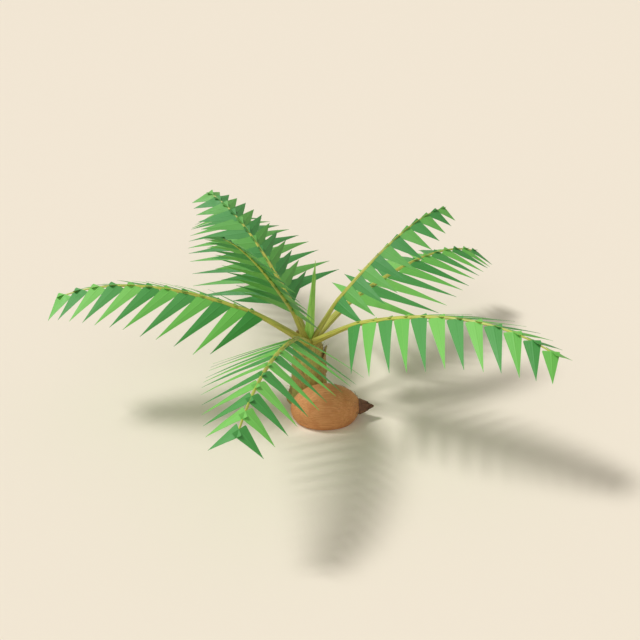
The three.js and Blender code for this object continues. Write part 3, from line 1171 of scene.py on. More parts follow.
    def build_leaflets(self, slab: Template, materials: list[bpy.types.Material]) -> bpy.types.Object:
        """Builds the leaflets, pair by pair in alternate tints.

        Args:
            slab: The slab template.
            materials: Three light blades, three dark ones, a light and a dark midrib, and the dry tip.

        Returns:
            The joined piece.
        """
        rng = np.random.default_rng(self.seed)
        shape = self.leaflet
        shades = len(self.tones.blades[0])
        first_midrib = shades * len(Tint)
        dry_tip = len(materials) - 1
        share = slab.face_means(slab.points[:, 0])
        on_midrib = (slab.face_means(shape.rows(slab.points[:, 1])) < 1) | (share < shape.collar)
        bundle = Bundle()
        tint = self.leaflets.first_tint
        for pair in range(shape.pairs):
            for hand in (-1, 1):
                points, straight = self.leaflet_points(slab, pair, hand, rng)
                blade = shades * tint.value + int(rng.integers(shades))
                chosen = np.where(on_midrib, first_midrib + tint.value, blade)
                if rng.uniform() < shape.dry_chance:
                    chosen = np.where(share > shape.dry_from, dry_tip, chosen)
                bundle.add(slab, points, straight, chosen)
            tint = tint.other()
        return settle(bundle.piece(f"{self.name}_leaflets", materials), self.slot, self.name)


@dataclass
class Crown:
    """The three young and five grown fronds, and how finely their midribs are modelled."""

    bar_sides: int = 28
    bar_cuts: int = 90
    fronds: list[Frond] = field(default_factory=list)

    def __post_init__(self) -> None:
        """Sets out the fronds, the younger ones nearer the middle."""
        light, dark = Tint.LIGHT, Tint.DARK
        # The second set of greens is painted shade, a tone darker than the first, for fronds that lie in the
        # shade of others
        fresh, painted_shade = FRESH_LEAFLETS, PAINTED_SHADE_LEAFLETS
        self.fronds += [
            Frond(
                "young_frond_right", 100, MidribLine(4.2, 43.6, 0.798, 50.7, -6.8, (0.008, 0, -0.046)),
                LeafletSet(2.5, 36, 0.69, 0.90, dark, roll=8), painted_shade, young=True,
            ),
            Frond(
                "young_frond_back", 101, MidribLine(136, -5.5, 0.752, 47.8, 6.2),
                LeafletSet(21, 22, 0.935, 1.15, dark, roll=2.8), painted_shade, young=True,
            ),
            Frond(
                "young_frond_front", 102, MidribLine(219, 22, 0.760, 58, 35),
                LeafletSet(10, 12, 0.94, 0.94, light), painted_shade, young=True,
            ),
            Frond(
                "frond_right", 103, MidribLine(-36, 5, 1.106, 27.2, -21.0),
                LeafletSet(24, 21.5, 0.915, 1.06, dark), fresh,
            ),
            Frond(
                "frond_back_right", 104, MidribLine(48, -4, 1.107, 11.2, -25.2),
                LeafletSet(25.3, 19.4, 0.905, 0.95, light, first_station=0.271), fresh,
            ),
            Frond(
                "frond_back_left", 105, MidribLine(112.1, 0.1, 1.214, 14.4, -24.5),
                LeafletSet(27.8, 17.5, 1, 0.97, dark, first_station=0.239), painted_shade,
            ),
            Frond(
                "frond_left", 106, MidribLine(186.8, -4, 1.016, 26.2, -20),
                LeafletSet(28.4, 20, 1.07, 1.12, dark, roll=-1), fresh,
            ),
            Frond(
                "frond_front", 107, MidribLine(259.9, -3.4, 1.106, 24.6, -20.2),
                LeafletSet(23.8, 21.6, 0.93, 1.0, light), fresh,
            ),
        ]

    def build(self) -> None:
        """Builds every frond from the same templates."""
        slab = model_slab(*LeafletShape().faces)
        bar = model_bar(self.bar_sides, self.bar_cuts)
        bead = model_bead()
        dry_tip = DRY_TIP.material()
        kinds = {tones: tones.materials() + [dry_tip] for tones in (FRESH_LEAFLETS, PAINTED_SHADE_LEAFLETS)}
        skins = [PETIOLE.material(), CUSHION.material()]
        for frond in self.fronds:
            frond.build_midrib(bar, bead, skins)
            frond.build_leaflets(slab, kinds[frond.tones])


@dataclass(frozen=True)
class FreeTip:
    """Tip of a leaflet that has come free of the spear leaf.

    Attributes:
        start: Where it leaves the lance, as a share of its height.
        reach: Its length, as a share of the lance's height.
        heading: Side of the lance that it stands on, in radians.
        spread: How far its end stands off.
        half_width: Half of its full width.
        narrowest: Half of its width at the end.
        taper_power: Power that shapes its taper.
        root_share: Share of the width at its root.
        shoulder: Share of its length at which the full width is reached.
        fold: Slope down from its middle.
        thickness: Its thickness.
        sunk_share: Share of the lance's own radius that it lies at.
    """

    start: float
    reach: float
    heading: float
    spread: float
    half_width: float = 0.0068
    narrowest: float = 0.0004
    taper_power: float = 1.4
    root_share: float = 0.5
    shoulder: float = 0.15
    fold: float = 0.5
    thickness: float = 0.0009
    sunk_share: float = 0.92


@dataclass
class SpearLeaf:
    """Youngest leaf: a tight, pleated lance with the tips of a few leaflets coming free of it.

    Attributes:
        foot: Height at which it starts, inside the trunk.
        base: Height that its shares are counted from.
        height: Height of its tip above that.
        width: Greatest width from side to side.
        depth: Greatest depth from front to back.
        lean: How far its tip leans to the right.
        pleats: Pleats round it.
        pleat_depth: Their depth against its size.
        pleat_fade: What they lose of it by the tip.
        twist: How far the pleats turn from base to tip, in radians.
        wrap: Where the free edge of the outermost leaflet lies, in radians.
        wrap_step: Depth of the step at that edge, against the lance's size.
        wrap_width: Angle over which the step runs out, in radians.
        stations: Shares of the height at which the next are given.
        widths: Shares of the full width there.
        free_tips: The leaflets' tips that have come free.
        pattern_turn: Distance in the fibres' pattern to a radian round the lance.
        pattern_depth: The same from its axis to its skin.
    """

    foot: float = 0.262
    base: float = 0.282
    height: float = 0.360
    width: float = 0.037
    depth: float = 0.021
    lean: float = 0.029
    pleats: int = 9
    pleat_depth: float = 0.09
    pleat_fade: float = 0.5
    twist: float = 1.1
    wrap: float = 0.9
    wrap_step: float = 0.12
    wrap_width: float = 0.22
    stations: tuple[float, ...] = (0, 0.11, 0.25, 0.38, 0.5, 0.63, 0.76, 0.88, 1)
    widths: tuple[float, ...] = (0.68, 0.97, 0.9, 0.77, 0.63, 0.51, 0.37, 0.2, 0.03)
    free_tips: tuple[FreeTip, ...] = (
        FreeTip(0.30, 0.50, 0.5, 0.004), FreeTip(0.42, 0.46, 3.4, 0.003), FreeTip(0.22, 0.42, 4.9, 0.004),
    )
    pattern_turn: float = 0.006
    pattern_depth: float = 0.004

    def centre(self, t: np.ndarray) -> np.ndarray:
        """Points on the spear's axis at shares t of its height."""
        return np.stack([self.lean * np.maximum(t, 0), np.zeros_like(t), self.base + self.height * t], 1)

    def fullness(self, t: np.ndarray) -> np.ndarray:
        """Share of the full width at shares t of the height."""
        return np.interp(t, self.stations, self.widths)

    def build(self, material: bpy.types.Material) -> bpy.types.Object:
        """Builds the lance and its free leaflet tips as one piece."""
        bundle = Bundle()
        bar = model_bar(72, 80)
        x, y, p = bar.points.T
        t = lerp((self.foot - self.base) / self.height, 1, p)
        angle = np.arctan2(y, x)
        turned = angle + self.twist * t
        pleats = np.abs(np.cos(self.pleats * turned / 2)) * 2 - 1
        pleat = 1 + self.pleat_depth * pleats * (1 - self.pleat_fade * np.clip(t, 0, 1))
        edge = 1 - self.wrap_step * np.exp(-(((turned - self.wrap) % TURN) / self.wrap_width))
        full = self.fullness(t) * pleat * edge
        across, through = np.cos(angle) * full * self.width / 2, np.sin(angle) * full * self.depth / 2
        points = self.centre(t) + np.stack([across, through, np.zeros_like(t)], 1)
        straight = np.stack([turned * self.pattern_turn, full * self.pattern_depth, t * self.height], 1)
        bundle.add(bar, points, straight, 0)
        slab = model_slab(24, 8)
        for tip in self.free_tips:
            bundle.add(slab, *self.tip_points(slab, tip), 0)
        return settle(bundle.piece("spear_lance", [material]), "spear", "spear_leaf")

    def tip_points(self, slab: Template, tip: FreeTip) -> tuple[np.ndarray, np.ndarray]:
        """Places one free tip on the lance.

        Args:
            slab: The slab template.
            tip: Where it is and its size.

        Returns:
            The points in the palm's frame and on the straight leaflet.
        """
        s, k, w = slab.points.T
        t = tip.start + tip.reach * s
        out = level(tip.heading)
        side = np.cross(UP, out)
        opening = lerp(tip.root_share, 1, smooth(s / tip.shoulder))
        half = np.maximum(tip.half_width * (1 - s ** tip.taper_power) * opening, tip.narrowest)
        skin = np.hypot(out[0] * self.width, out[1] * self.depth) / 2 * self.fullness(t)
        y = k * half
        z = w * tip.thickness - tip.fold * np.abs(y)
        stand = skin * tip.sunk_share + tip.spread * s ** 2 + z
        points = self.centre(t) + stand[:, None] * out + y[:, None] * side
        return points, np.stack([y, z, s * tip.reach * self.height], 1)


# Stem


@dataclass(frozen=True)
class TrunkForm:
    """Taper and flare of the trunk, and the low dome on top of it."""

    top_radius: float = 0.059
    foot_radius: float = 0.074
    flare: float = 0.016
    flare_height: float = 0.034
    shoulder: float = 0.246
    dome_top: float = 0.290

    def radius(self, height: np.ndarray) -> np.ndarray:
        """Radius at heights below the shoulder."""
        taper = lerp(self.foot_radius, self.top_radius, height / self.shoulder)
        return taper + self.flare * np.exp(-height / self.flare_height)


@dataclass
class Trunk:
    """Short stem, ringed by the scars of fallen leaves.

    Attributes:
        form: Its main form.
        sides: Faces round it.
        cuts: Rings cut between the ground and the top of the dome.
        dome_share: Share of the rings that are on the dome.
        dome_turn: Degrees that the dome turns through, just short of its pole.
        first_scar: Height of the first scar.
        scar_spacing: Height from scar to scar.
        scar_tilt: How far a scar is higher on one side.
        scar_waver: How the first scar wavers. The others each take the next seed.
        lip: How far the upper lip of a scar stands out.
        lip_fade: Height over which it runs out.
        groove: Depth of the groove under it.
        groove_fade: Height over which that runs out.
        foot_fade: Height above the ground over which the scars fade in.
        fibres: Fibres of the bark.
        dents: Broad dents in it.
        crumbs: Rough top, between the petioles.
    """

    form: TrunkForm = TrunkForm()
    sides: int = 192
    cuts: int = 150
    dome_share: float = 0.16
    dome_turn: float = 89.0
    first_scar: float = 0.014
    scar_spacing: float = 0.031
    scar_tilt: float = 0.005
    scar_waver: Streaks = Streaks(0.0018, 40, (3, 11), 0)
    lip: float = 0.0022
    lip_fade: float = 0.011
    groove: float = 0.0018
    groove_fade: float = 0.0028
    foot_fade: float = 0.012
    fibres: Streaks = Streaks(0.0011, 3, (18, 60), 14)
    dents: Streaks = Streaks(0.0022, 4, (1, 6), 40)
    crumbs: Streaks = Streaks(0.0016, 9, (9, 34), 60)

    def relief(self, angle: np.ndarray, height: np.ndarray) -> np.ndarray:
        """How far the bark stands out, from its scars, fibres and dents."""
        total = self.fibres.at(angle, height) + self.dents.at(angle, height)
        for ring in range(int(self.form.shoulder / self.scar_spacing) + 1):
            turned = angle - math.radians(GOLDEN_ANGLE) * ring
            line = self.first_scar + self.scar_spacing * ring + self.scar_tilt * np.cos(turned)
            waver = replace(self.scar_waver, seed=self.scar_waver.seed + ring)
            line = line + waver.at(angle, np.zeros_like(angle))
            gap = height - line
            above = self.lip * np.exp(-np.maximum(gap, 0) / self.lip_fade)
            below = -self.groove * np.exp(np.minimum(gap, 0) / self.groove_fade)
            total += np.where(gap > 0, above, below) * smooth(height / self.foot_fade)
        return total

    def build(self, material: bpy.types.Material) -> bpy.types.Object:
        """Builds the stem with its bark."""
        bar = model_bar(self.sides, self.cuts)
        x, y, p = bar.points.T
        form = self.form
        angle = np.arctan2(y, x)
        body = 1 - self.dome_share
        height = np.minimum(p / body, 1) * form.shoulder
        dome = np.clip((p - body) / self.dome_share, 0, 1) * math.radians(self.dome_turn)
        radius = (form.radius(height) + self.relief(angle, height)) * np.cos(dome)
        z = height + (form.dome_top - form.shoulder) * np.sin(dome)
        z = z + self.crumbs.at(angle, z) * np.sin(dome) * np.cos(dome)
        points = np.stack([radius * np.cos(angle), radius * np.sin(angle), z], 1)
        piece = make_piece("trunk_bark", points, bar.faces, points, [material])
        return settle(piece, "bark", "trunk")


@dataclass
class LeafBases:
    """Clasping stubs of fallen leaves, a golden angle apart up the stem.

    Attributes:
        form: The stem's form.
        faces: Faces along and across a stub.
        count: Number of stubs.
        hidden_by_nut: Number, from 0, of the one that would lie wholly behind the seed nut and is left out.
        first_azimuth: Azimuth of the first one's middle, in degrees.
        first_foot: Height of its foot, which is below the ground.
        climb: Height from stub to stub.
        height: Height of a whole stub.
        half_angle: Half of what it spans round the stem at its foot, in degrees.
        foot_thickness: Thickness at its foot.
        tip_thickness: Thickness at its tip.
        thin_edge: Share of the thickness that its edges lose.
        sunk: How far its inner side lies inside the stem.
        lean: How far the tip of a free one stands off.
        lean_power: Power that shapes the lean.
        loosening: How much freer each stands than the one below, up to 1.
        tip_share: Share of its width at the tip.
        taper_power: Power that shapes its taper.
        frayed_edge: How far its edges are frayed, as a share of the width.
        torn_tip: How far its tip is torn, as a share of the height.
        rib_heights: Heights of its coarse and its fine ribs.
        rib_counts: Radians of these ribs to a radian round the stem.
        keel: Height of the keel in its middle.
        keel_width: Angle from its middle over which the keel runs out, in radians.
        curl: How far the edges curl out.
        flat_radius: Radius at which a stub is laid out flat.
        first_seed: Seed of the first stub's torn edges.
    """

    form: TrunkForm = TrunkForm()
    faces: tuple[int, int] = (56, 48)
    count: int = 6
    hidden_by_nut: int = 1
    first_azimuth: float = 165.0
    first_foot: float = -0.034
    climb: float = 0.042
    height: float = 0.120
    half_angle: float = 50.0
    foot_thickness: float = 0.010
    tip_thickness: float = 0.0035
    thin_edge: float = 0.62
    sunk: float = 0.002
    lean: float = 0.012
    lean_power: float = 2.5
    loosening: float = 0.2
    tip_share: float = 0.03
    taper_power: float = 1.7
    frayed_edge: float = 0.10
    torn_tip: float = 0.05
    rib_heights: tuple[float, float] = (0.0008, 0.0005)
    rib_counts: tuple[float, float] = (46, 97)
    keel: float = 0.0030
    keel_width: float = 0.22
    curl: float = 0.004
    flat_radius: float = 0.07
    first_seed: int = 60

    @property
    def shown(self) -> list[int]:
        """Numbers of the stubs that are built, from 0 at the ground."""
        return [index for index in range(self.count) if index != self.hidden_by_nut]

    def azimuth(self, index: int) -> float:
        """Azimuth of a stub's middle, in radians."""
        return math.radians(self.first_azimuth + GOLDEN_ANGLE * index)

    def foot(self, index: int) -> float:
        """Height of a stub's foot."""
        return self.first_foot + self.climb * index

    def narrowing(self, t: np.ndarray | float) -> np.ndarray | float:
        """Share of its width that a stub has at shares t of its height."""
        return 1 + self.tip_share - t ** self.taper_power

    def plate_points(self, slab: Template, index: int) -> tuple[np.ndarray, np.ndarray]:
        """Bends the slab round the stem as one stub.

        Args:
            slab: The slab template.
            index: Number of the stub from the ground.

        Returns:
            The points in the palm's frame and on the flat stub.
        """
        foot = self.foot(index)
        free = min(1.0, self.loosening * (1 + index))
        t = lerp(max(0.0, -foot / self.height), 1, slab.points[:, 0])
        x = -slab.points[:, 1]
        rng = np.random.default_rng(self.first_seed + index)
        frayed = uneven(t, rng, 5, 0.3, (8, 40)) * np.abs(x) * smooth((t - 0.15) / 0.3)
        narrow = self.narrowing(t) * (1 + self.frayed_edge * frayed)
        torn = uneven(x, rng, 4, 0.4, (5, 26)) * smooth((t - 0.5) / 0.5)
        z = foot + self.height * t * (1 + self.torn_tip * torn)
        spread = x * narrow * math.radians(self.half_angle)
        angle = self.azimuth(index) + spread
        coarse, fine = self.rib_counts
        waves = np.cos(coarse * spread + 1.5 * np.sin(6 * t)), np.cos(fine * spread + 4 * t)
        ribs = self.rib_heights[0] * waves[0] + self.rib_heights[1] * waves[1]
        keel = self.keel * np.exp(-((spread / self.keel_width) ** 2)) * (1 - t)
        curl = self.curl * free * np.abs(x) ** 3 * smooth(t / 0.5)
        thickness = lerp(self.foot_thickness, self.tip_thickness, t) * (1 - self.thin_edge * np.abs(x) ** 1.5)
        lean = (self.lean * free + self.sunk) * t ** self.lean_power
        inner = self.form.radius(np.maximum(z, 0)) - self.sunk + lean + curl
        radius = inner + (0.5 + slab.points[:, 2]) * (thickness + ribs + keel)
        points = np.stack([radius * np.cos(angle), radius * np.sin(angle), np.maximum(z, 0)], 1)
        return points, np.stack([spread * self.flat_radius, thickness, z], 1)

    def build(self, material: bpy.types.Material) -> list[bpy.types.Object]:
        """Builds each stub as a piece of its own."""
        slab = model_slab(*self.faces)
        made = []
        for index in self.shown:
            points, straight = self.plate_points(slab, index)
            piece = make_piece(f"leaf_base_{index + 1}_sheath", points, slab.faces, straight, [material])
            made.append(settle(piece, "leaf_base", f"leaf_base_{index + 1}"))
        return made


# Seed nut


@dataclass(frozen=True)
class NutForm:
    """Place and shape of the husk, which lies on its side against the stem.

    Attributes:
        x: Place of its middle to the right.
        y: Place of its middle towards the back.
        z: Height of its middle.
        half_length: Half of its length.
        radius: Its mean radius.
        ridges: Soft ridges along it.
        ridge: Height of a ridge, as a share of the radius.
        turn: How far its length is turned from X, in degrees.
    """

    x: float = 0.069
    y: float = -0.163
    z: float = 0.057
    half_length: float = 0.141
    radius: float = 0.100
    ridges: int = 3
    ridge: float = 0.03
    turn: float = 3.0

    @property
    def middle(self) -> np.ndarray:
        """Its middle in the palm's frame."""
        return np.array([self.x, self.y, self.z])

    def placed(self, local: np.ndarray) -> np.ndarray:
        """Turns points from the nut's own frame, its length along X, into the palm's."""
        c, s = math.cos(math.radians(self.turn)), math.sin(math.radians(self.turn))
        x, y, z = local.T
        return np.stack([c * x - s * y, s * x + c * y, z], 1) + self.middle

    def surface(self, pole: np.ndarray, around: np.ndarray, lift: np.ndarray | float = 0.0) -> np.ndarray:
        """Points on the husk, in its own frame.

        Args:
            pole: Place along the husk, from -1 to 1.
            around: Angle round its length, in radians.
            lift: How far the point stands off.

        Returns:
            The points.
        """
        ring = np.sqrt(np.maximum(1 - pole ** 2, 0))
        radius = self.radius * (1 + self.ridge * np.cos(self.ridges * around)) * ring + lift * ring
        x = pole * (self.half_length + lift)
        return np.stack([x, radius * np.cos(around), radius * np.sin(around)], 1)


@dataclass
class SeedNut:
    """The nut that the palm grew from, in its dry husk, with the dried scales of its stem end.

    Attributes:
        form: The husk's form.
        ball_faces: Faces round and along the husk.
        fibres: Fibres of the husk.
        dents: Broad dents in it.
        cap_radius: Greatest radius of the stem end.
        cap_length: Its length from the husk's end to its tip.
        cap_shares: Shares of this length at which the next are given.
        cap_widths: Shares of the greatest radius there.
        stalk_ends: Where the stub of the stalk starts and ends, as shares of the length.
        stalk_share: Its radius against the stem end's.
        stalk_fibres: Its fibres.
        scale_faces: Faces along and across a scale.
        scales: Scales in a ring.
        scale_start: Where the scales start, as a share of the length.
        scale_reaches: Where the inner and the outer ring end.
        scale_stands: How far the scales of each ring stand off.
        scale_half_angle: Half of what a scale spans, in degrees.
        scale_share: Radius on which they lie against the stem end's.
        scale_thickness: Their thickness.
        scale_heading: Where round the length the first scale's middle lies, in radians.
        scale_taper: Power that shapes a scale's taper.
        scale_flare: How far its tip bends out.
        scale_curl: How far its edges bend out.
        scale_rib: Height of its ribs.
    """

    form: NutForm = NutForm()
    ball_faces: tuple[int, int] = (160, 96)
    fibres: Streaks = Streaks(0.0005, 21, (26, 64), 26)
    dents: Streaks = Streaks(0.0018, 22, (1, 5), 34)
    cap_radius: float = 0.034
    cap_length: float = 0.058
    cap_shares: tuple[float, ...] = (-0.25, 0, 0.25, 0.6, 0.97)
    cap_widths: tuple[float, ...] = (0.9, 1, 0.76, 0.39, 0.06)
    stalk_ends: tuple[float, float] = (-0.25, 0.98)
    stalk_share: float = 0.80
    stalk_fibres: Streaks = Streaks(0.0006, 31, (5, 16), 4)
    scale_faces: tuple[int, int] = (26, 26)
    scales: int = 3
    scale_start: float = -0.18
    scale_reaches: tuple[float, float] = (0.92, 0.56)
    scale_stands: tuple[float, float] = (0.0, 0.0016)
    scale_half_angle: float = 62.0
    scale_share: float = 0.86
    scale_thickness: float = 0.0022
    scale_heading: float = 0.4
    scale_taper: float = 2.2
    scale_flare: float = 0.0022
    scale_curl: float = 0.0010
    scale_rib: float = 0.0004

    def build_husk(self, material: bpy.types.Material) -> bpy.types.Object:
        """Builds the husk, cut flat where it is sunk in the ground."""
        ball = model_ball(*self.ball_faces)
        pole = np.clip(ball.points[:, 0], -1, 1)
        around = np.arctan2(ball.points[:, 2], ball.points[:, 1])
        along = pole * self.form.half_length
        lift = self.fibres.at(around, along) + self.dents.at(around, along)
        local = self.form.surface(pole, around, lift)
        straight = np.stack([along, local[:, 1], local[:, 2]], 1)
        piece = make_piece("husk", self.form.placed(local), ball.faces, straight, [material])
        with editing(piece):
            bpy.ops.mesh.select_all(action="SELECT")
            bpy.ops.mesh.bisect(
                plane_co=(0, 0, 0), plane_no=(0, 0, 1), use_fill=True, clear_inner=True, threshold=1e-6,
            )
        return settle(piece, "husk", "seed_nut")

    def cap_reach(self, share: np.ndarray) -> np.ndarray:
        """Radius of the stem end at shares of its length."""
        return self.cap_radius * np.interp(share, self.cap_shares, self.cap_widths)

    def cap_points(self, share: np.ndarray, radius: np.ndarray, angle: np.ndarray) -> np.ndarray:
        """Points of the stem end, in the nut's own frame.

        Args:
            share: Shares of its length.
            radius: Distances from the nut's length.
            angle: Angles round that, in radians.

        Returns:
            The points.
        """
        along = self.form.half_length + share * self.cap_length
        return np.stack([along, radius * np.cos(angle), radius * np.sin(angle)], 1)

    def build_stem_end(self, material: bpy.types.Material) -> bpy.types.Object:
        """Builds two rings of dried scales round the stub of the nut's stalk."""
        bundle = Bundle()
        bar = model_bar(40, 30)
        x, y, p = bar.points.T
        angle = np.arctan2(y, x)
        share = lerp(*self.stalk_ends, p)
        radius = self.cap_reach(share) * self.stalk_share + self.stalk_fibres.at(angle, share)
        local = self.cap_points(share, radius, angle)
        bundle.add(bar, self.form.placed(local), local, 0)
        slab = model_slab(*self.scale_faces)
        for layer in range(len(self.scale_reaches)):
            for number in range(self.scales):
                heading = TURN * (number + 0.5 * layer) / self.scales + self.scale_heading
                bundle.add(slab, *self.scale_points(slab, heading, layer), 0)
        return settle(bundle.piece("stem_scales", [material]), "stem_end", "seed_stem_end")

    def scale_points(self, slab: Template, heading: float, layer: int) -> tuple[np.ndarray, np.ndarray]:
        """Places one scale of the stem end.

        Args:
            slab: The slab template.
            heading: Angle of its middle round the nut's length.
            layer: 0 for the inner, longer ring and 1 for the outer one.

        Returns:
            The points in the palm's frame and on the flat scale.
        """
        s, k, w = slab.points.T
        notched = s * (1 - 0.05 * np.cos(9 * k + layer))
        share = lerp(self.scale_start, self.scale_reaches[layer], notched)
        narrow = np.maximum(1 - s ** self.scale_taper, 0.02)
        angle = heading - k * math.radians(self.scale_half_angle) * narrow
        flared = self.scale_flare * s ** 3 * (layer + 0.4) + self.scale_curl * k ** 2
        rib = self.scale_rib * np.cos(20 * k)
        inner = self.cap_reach(share) * self.scale_share + self.scale_stands[layer] + flared
        radius = inner + (w + 0.5) * (self.scale_thickness * (1 - 0.5 * np.abs(k)) + rib)
        local = self.cap_points(share, radius, angle)
        return self.form.placed(local), np.stack([share * self.cap_length, k * 0.02, w * 0.002], 1)


# Coir


@dataclass
class Coir:
    """Loose brown strands at the crown, along the old leaf bases and on the husk.

    Attributes:
        trunk: The stem's form.
        nut: The husk's form.
        bases: The leaf bases.
        seed: Seed of the random numbers.
        thickness: Half of a strand's thickness at its root.
        crown_count: Strands at the crown.
        base_count: Strands on each leaf base.
        husk_count: Strands on the husk.
        thickness_left: What is left of it at the tip.
        girths: Thinnest and thickest strand against the usual.
        curl: Most that a strand curls to either side, as a share of its length.
        crown_sag: How far the tips at the crown hang, as a share of the length.
        base_sag: The same on the leaf bases.
        husk_sag: The same on the husk.
        lowest: About the height that the strands stay above.
        crown_heights: Lowest and highest root at the crown.
        lengths: Shortest and longest strand at the crown and on the husk.
        torn_lengths: The same on the leaf bases.
    """

    trunk: TrunkForm = TrunkForm()
    nut: NutForm = NutForm()
    bases: LeafBases = field(default_factory=LeafBases)
    seed: int = 7
    thickness: float = 0.0007
    crown_count: int = 170
    base_count: int = 34
    husk_count: int = 70
    thickness_left: float = 0.25
    girths: tuple[float, float] = (0.7, 1.2)
    curl: float = 0.22
    crown_sag: float = 0.25
    base_sag: float = 0.15
    husk_sag: float = 0.1
    lowest: float = 0.0012
    crown_heights: tuple[float, float] = (0.215, 0.270)
    lengths: tuple[float, float] = (0.012, 0.034)
    torn_lengths: tuple[float, float] = (0.010, 0.030)
    rng: np.random.Generator = field(init=False)
    strand: Template = field(init=False)
    bundle: Bundle = field(init=False)

    def __post_init__(self) -> None:
        """Starts the seeded random numbers and models the straight strand."""
        self.rng = np.random.default_rng(self.seed)
        self.strand = model_bar(3, 6)
        self.bundle = Bundle()

    def add_strand(self, root: np.ndarray, heading: np.ndarray, length: float, sag: float) -> None:
        """Adds one strand that tapers, curls a little and hangs over.

        Args:
            root: Where it starts.
            heading: The way it starts out.
            length: Its length.
            sag: How far its tip hangs, as a share of its length.
        """
        x, y, p = self.strand.points.T
        heading = unit(heading)
        side = unit(np.cross(heading, unit(self.rng.normal(size=3))))
        curl = self.rng.uniform(-self.curl, self.curl)
        axis = root + length * (p[:, None] * heading + (curl * p ** 2)[:, None] * side)
        axis[:, 2] -= sag * length * p ** 2
        other = np.cross(heading, side)
        girth = self.thickness * self.rng.uniform(*self.girths) * lerp(1, self.thickness_left, p)
        points = axis + (x * girth)[:, None] * side + (y * girth)[:, None] * other
        points[:, 2] = np.maximum(points[:, 2], self.lowest + 0.0004 * x)
        self.bundle.add(self.strand, points, self.strand.points * MM, int(self.rng.integers(len(COIR))))

    def round_the_crown(self) -> None:
        """Strands that stand up round the top of the stem, between the petioles."""
        rng = self.rng
        for _ in range(self.crown_count):
            out = level(rng.uniform(0, TURN))
            height = rng.uniform(*self.crown_heights)
            radius = self.trunk.top_radius * (1 if height < self.trunk.shoulder else 0.93)
            heading = out * rng.uniform(0.1, 0.9) + UP + 0.5 * rng.normal(size=3)
            self.add_strand(out * radius + height * UP, heading, rng.uniform(*self.lengths), self.crown_sag)

    def on_leaf_bases(self) -> None:
        """Strands torn from the edges and the tips of the old leaf bases."""
        rng, bases = self.rng, self.bases
        for index in bases.shown:
            for _ in range(self.base_count):
                t = rng.uniform(0.45, 1.0)
                spread = math.radians(bases.half_angle) * bases.narrowing(t) * rng.choice([-1, 1])
                out = level(bases.azimuth(index) + spread * rng.uniform(0.86, 1.0))
                height = bases.foot(index) + bases.height * t
                if height < 0.012:
                    continue
                radius = float(self.trunk.radius(height)) + bases.lean * t ** bases.lean_power
                heading = out * rng.uniform(0.0, 0.8) + UP + 0.35 * rng.normal(size=3)
                length = rng.uniform(*self.torn_lengths)
                self.add_strand(out * radius + height * UP, heading, length, self.base_sag)

    def on_husk(self) -> None:
        """Strands that lie along the husk, thickest near its stem end."""
        rng = self.rng
        for _ in range(self.husk_count):
            pole = rng.choice([rng.uniform(-0.85, 0.9), rng.uniform(0.8, 0.97)])
            around = rng.uniform(-0.15 * math.pi, 1.15 * math.pi)
            poles, angles = np.array([pole, pole + 0.02]), np.array([around, around])
            root, ahead = self.nut.placed(self.nut.surface(poles, angles))
            if root[2] > 0.01:
                outwards = unit(root - self.nut.middle)
                heading = unit(ahead - root) * rng.choice([-1, 1]) + outwards * rng.uniform(0.05, 0.35)
                self.add_strand(root, heading, rng.uniform(*self.lengths), self.husk_sag)

    def build(self, materials: list[bpy.types.Material]) -> bpy.types.Object:
        """Builds all strands as one piece."""
        self.round_the_crown()
        self.on_leaf_bases()
        self.on_husk()
        return settle(self.bundle.piece("coir_strands", materials), "leaf_base")


# Studio


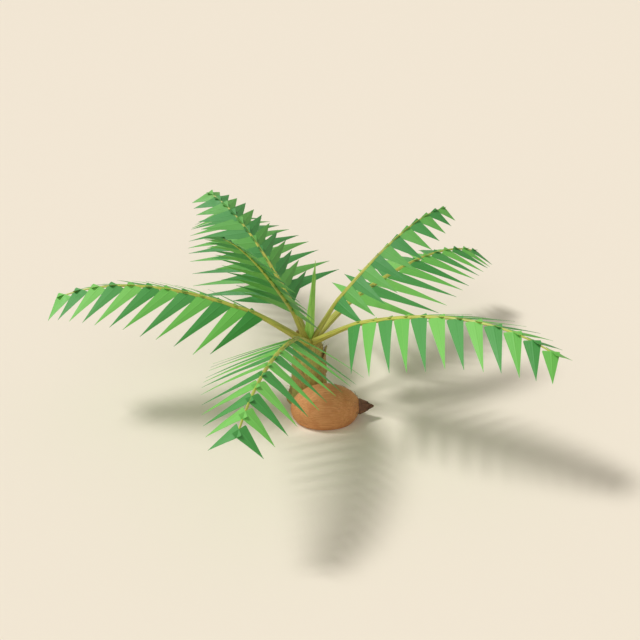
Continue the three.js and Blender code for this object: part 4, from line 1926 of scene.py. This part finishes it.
@dataclass
class Studio:
    """Pale floor, soft light and the camera at the photograph's angle."""

    floor_color: str = "#f3e9d8"
    floor_size: float = 60.0
    floor_drop: float = 0.0005
    room_color: str = "#fffaf3"
    window_turn: tuple[float, float, float] = (-3.0, -31.0, 0.0)
    window_angle: float = 13.0
    window_strength: float = 2.0
    fill_turn: tuple[float, float, float] = (62.0, 0.0, -12.0)
    fill_angle: float = 60.0
    fill_strength: float = 0.6
    room_strength: float = 0.36
    camera_place: tuple[float, float, float] = (0.0467, -4.2515, 2.6724)
    camera_tilt: float = 61.6
    field_of_view: float = 30.2

    def build_floor(self) -> None:
        """Builds the floor."""
        deselect_all()
        bpy.ops.mesh.primitive_plane_add(size=self.floor_size, location=(0, 0, -self.floor_drop))
        floor = bpy.context.active_object
        floor.name = "studio_floor"
        material = bpy.data.materials.new("matt studio floor")
        material.use_nodes = True
        shader = material.node_tree.nodes["Principled BSDF"]
        shader.inputs["Base Color"].default_value = linear(self.floor_color)
        shader.inputs["Roughness"].default_value = 0.95
        shader.inputs["Specular IOR Level"].default_value = 0.1
        floor.data.materials.append(material)
        floor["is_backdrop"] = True

    def build_light(self) -> None:
        """Builds a wide, even light from the upper left, a weak one from the front, and a pale room."""
        for name, turn, angle, strength in (
            ("window_light", self.window_turn, self.window_angle, self.window_strength),
            ("fill_light", self.fill_turn, self.fill_angle, self.fill_strength),
        ):
            deselect_all()
            bpy.ops.object.light_add(type="SUN", rotation=tuple(math.radians(degrees) for degrees in turn))
            light = bpy.context.active_object
            light.name = name
            light.data.angle = math.radians(angle)
            light.data.energy = strength
        world = bpy.data.worlds.new("pale room")
        bpy.context.scene.world = world
        world.use_nodes = True
        background = world.node_tree.nodes["Background"]
        background.inputs["Color"].default_value = linear(self.room_color)
        background.inputs["Strength"].default_value = self.room_strength

    def build_camera(self) -> None:
        """Builds the camera that the photograph was taken with."""
        deselect_all()
        bpy.ops.object.camera_add(location=self.camera_place, rotation=(math.radians(self.camera_tilt), 0, 0))
        camera = bpy.context.active_object
        camera.data.lens = camera.data.sensor_width / 2 / math.tan(math.radians(self.field_of_view / 2))
        bpy.context.scene.camera = camera

    def build(self) -> None:
        """Builds all of it, and shows colours as they are."""
        self.build_camera()
        self.build_floor()
        self.build_light()
        bpy.context.scene.view_settings.view_transform = "Standard"


def main() -> None:
    """Builds the palm and the studio."""
    logging.basicConfig(level=logging.INFO, format="%(name)s: %(message)s")
    Studio().build()
    Crown().build()
    SpearLeaf().build(SPEAR.material())
    Trunk().build(BARK.material())
    LeafBases().build(LEAF_BASE.material())
    nut = SeedNut()
    nut.build_husk(HUSK.material())
    nut.build_stem_end(SCALE.material())
    Coir().build([finish.material() for finish in COIR])
    visual_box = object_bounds()
    boxes = {"cad": [list(corner) for corner in cad_box], "visual": [list(corner) for corner in visual_box]}
    for name, box in boxes.items():
        spans = ", ".join(f"{low:.3f} to {high:.3f}" for low, high in zip(*box))
        LOG.info("%s box along X, Y and Z: %s", name, spans)


if __name__ == "__main__":
    main()
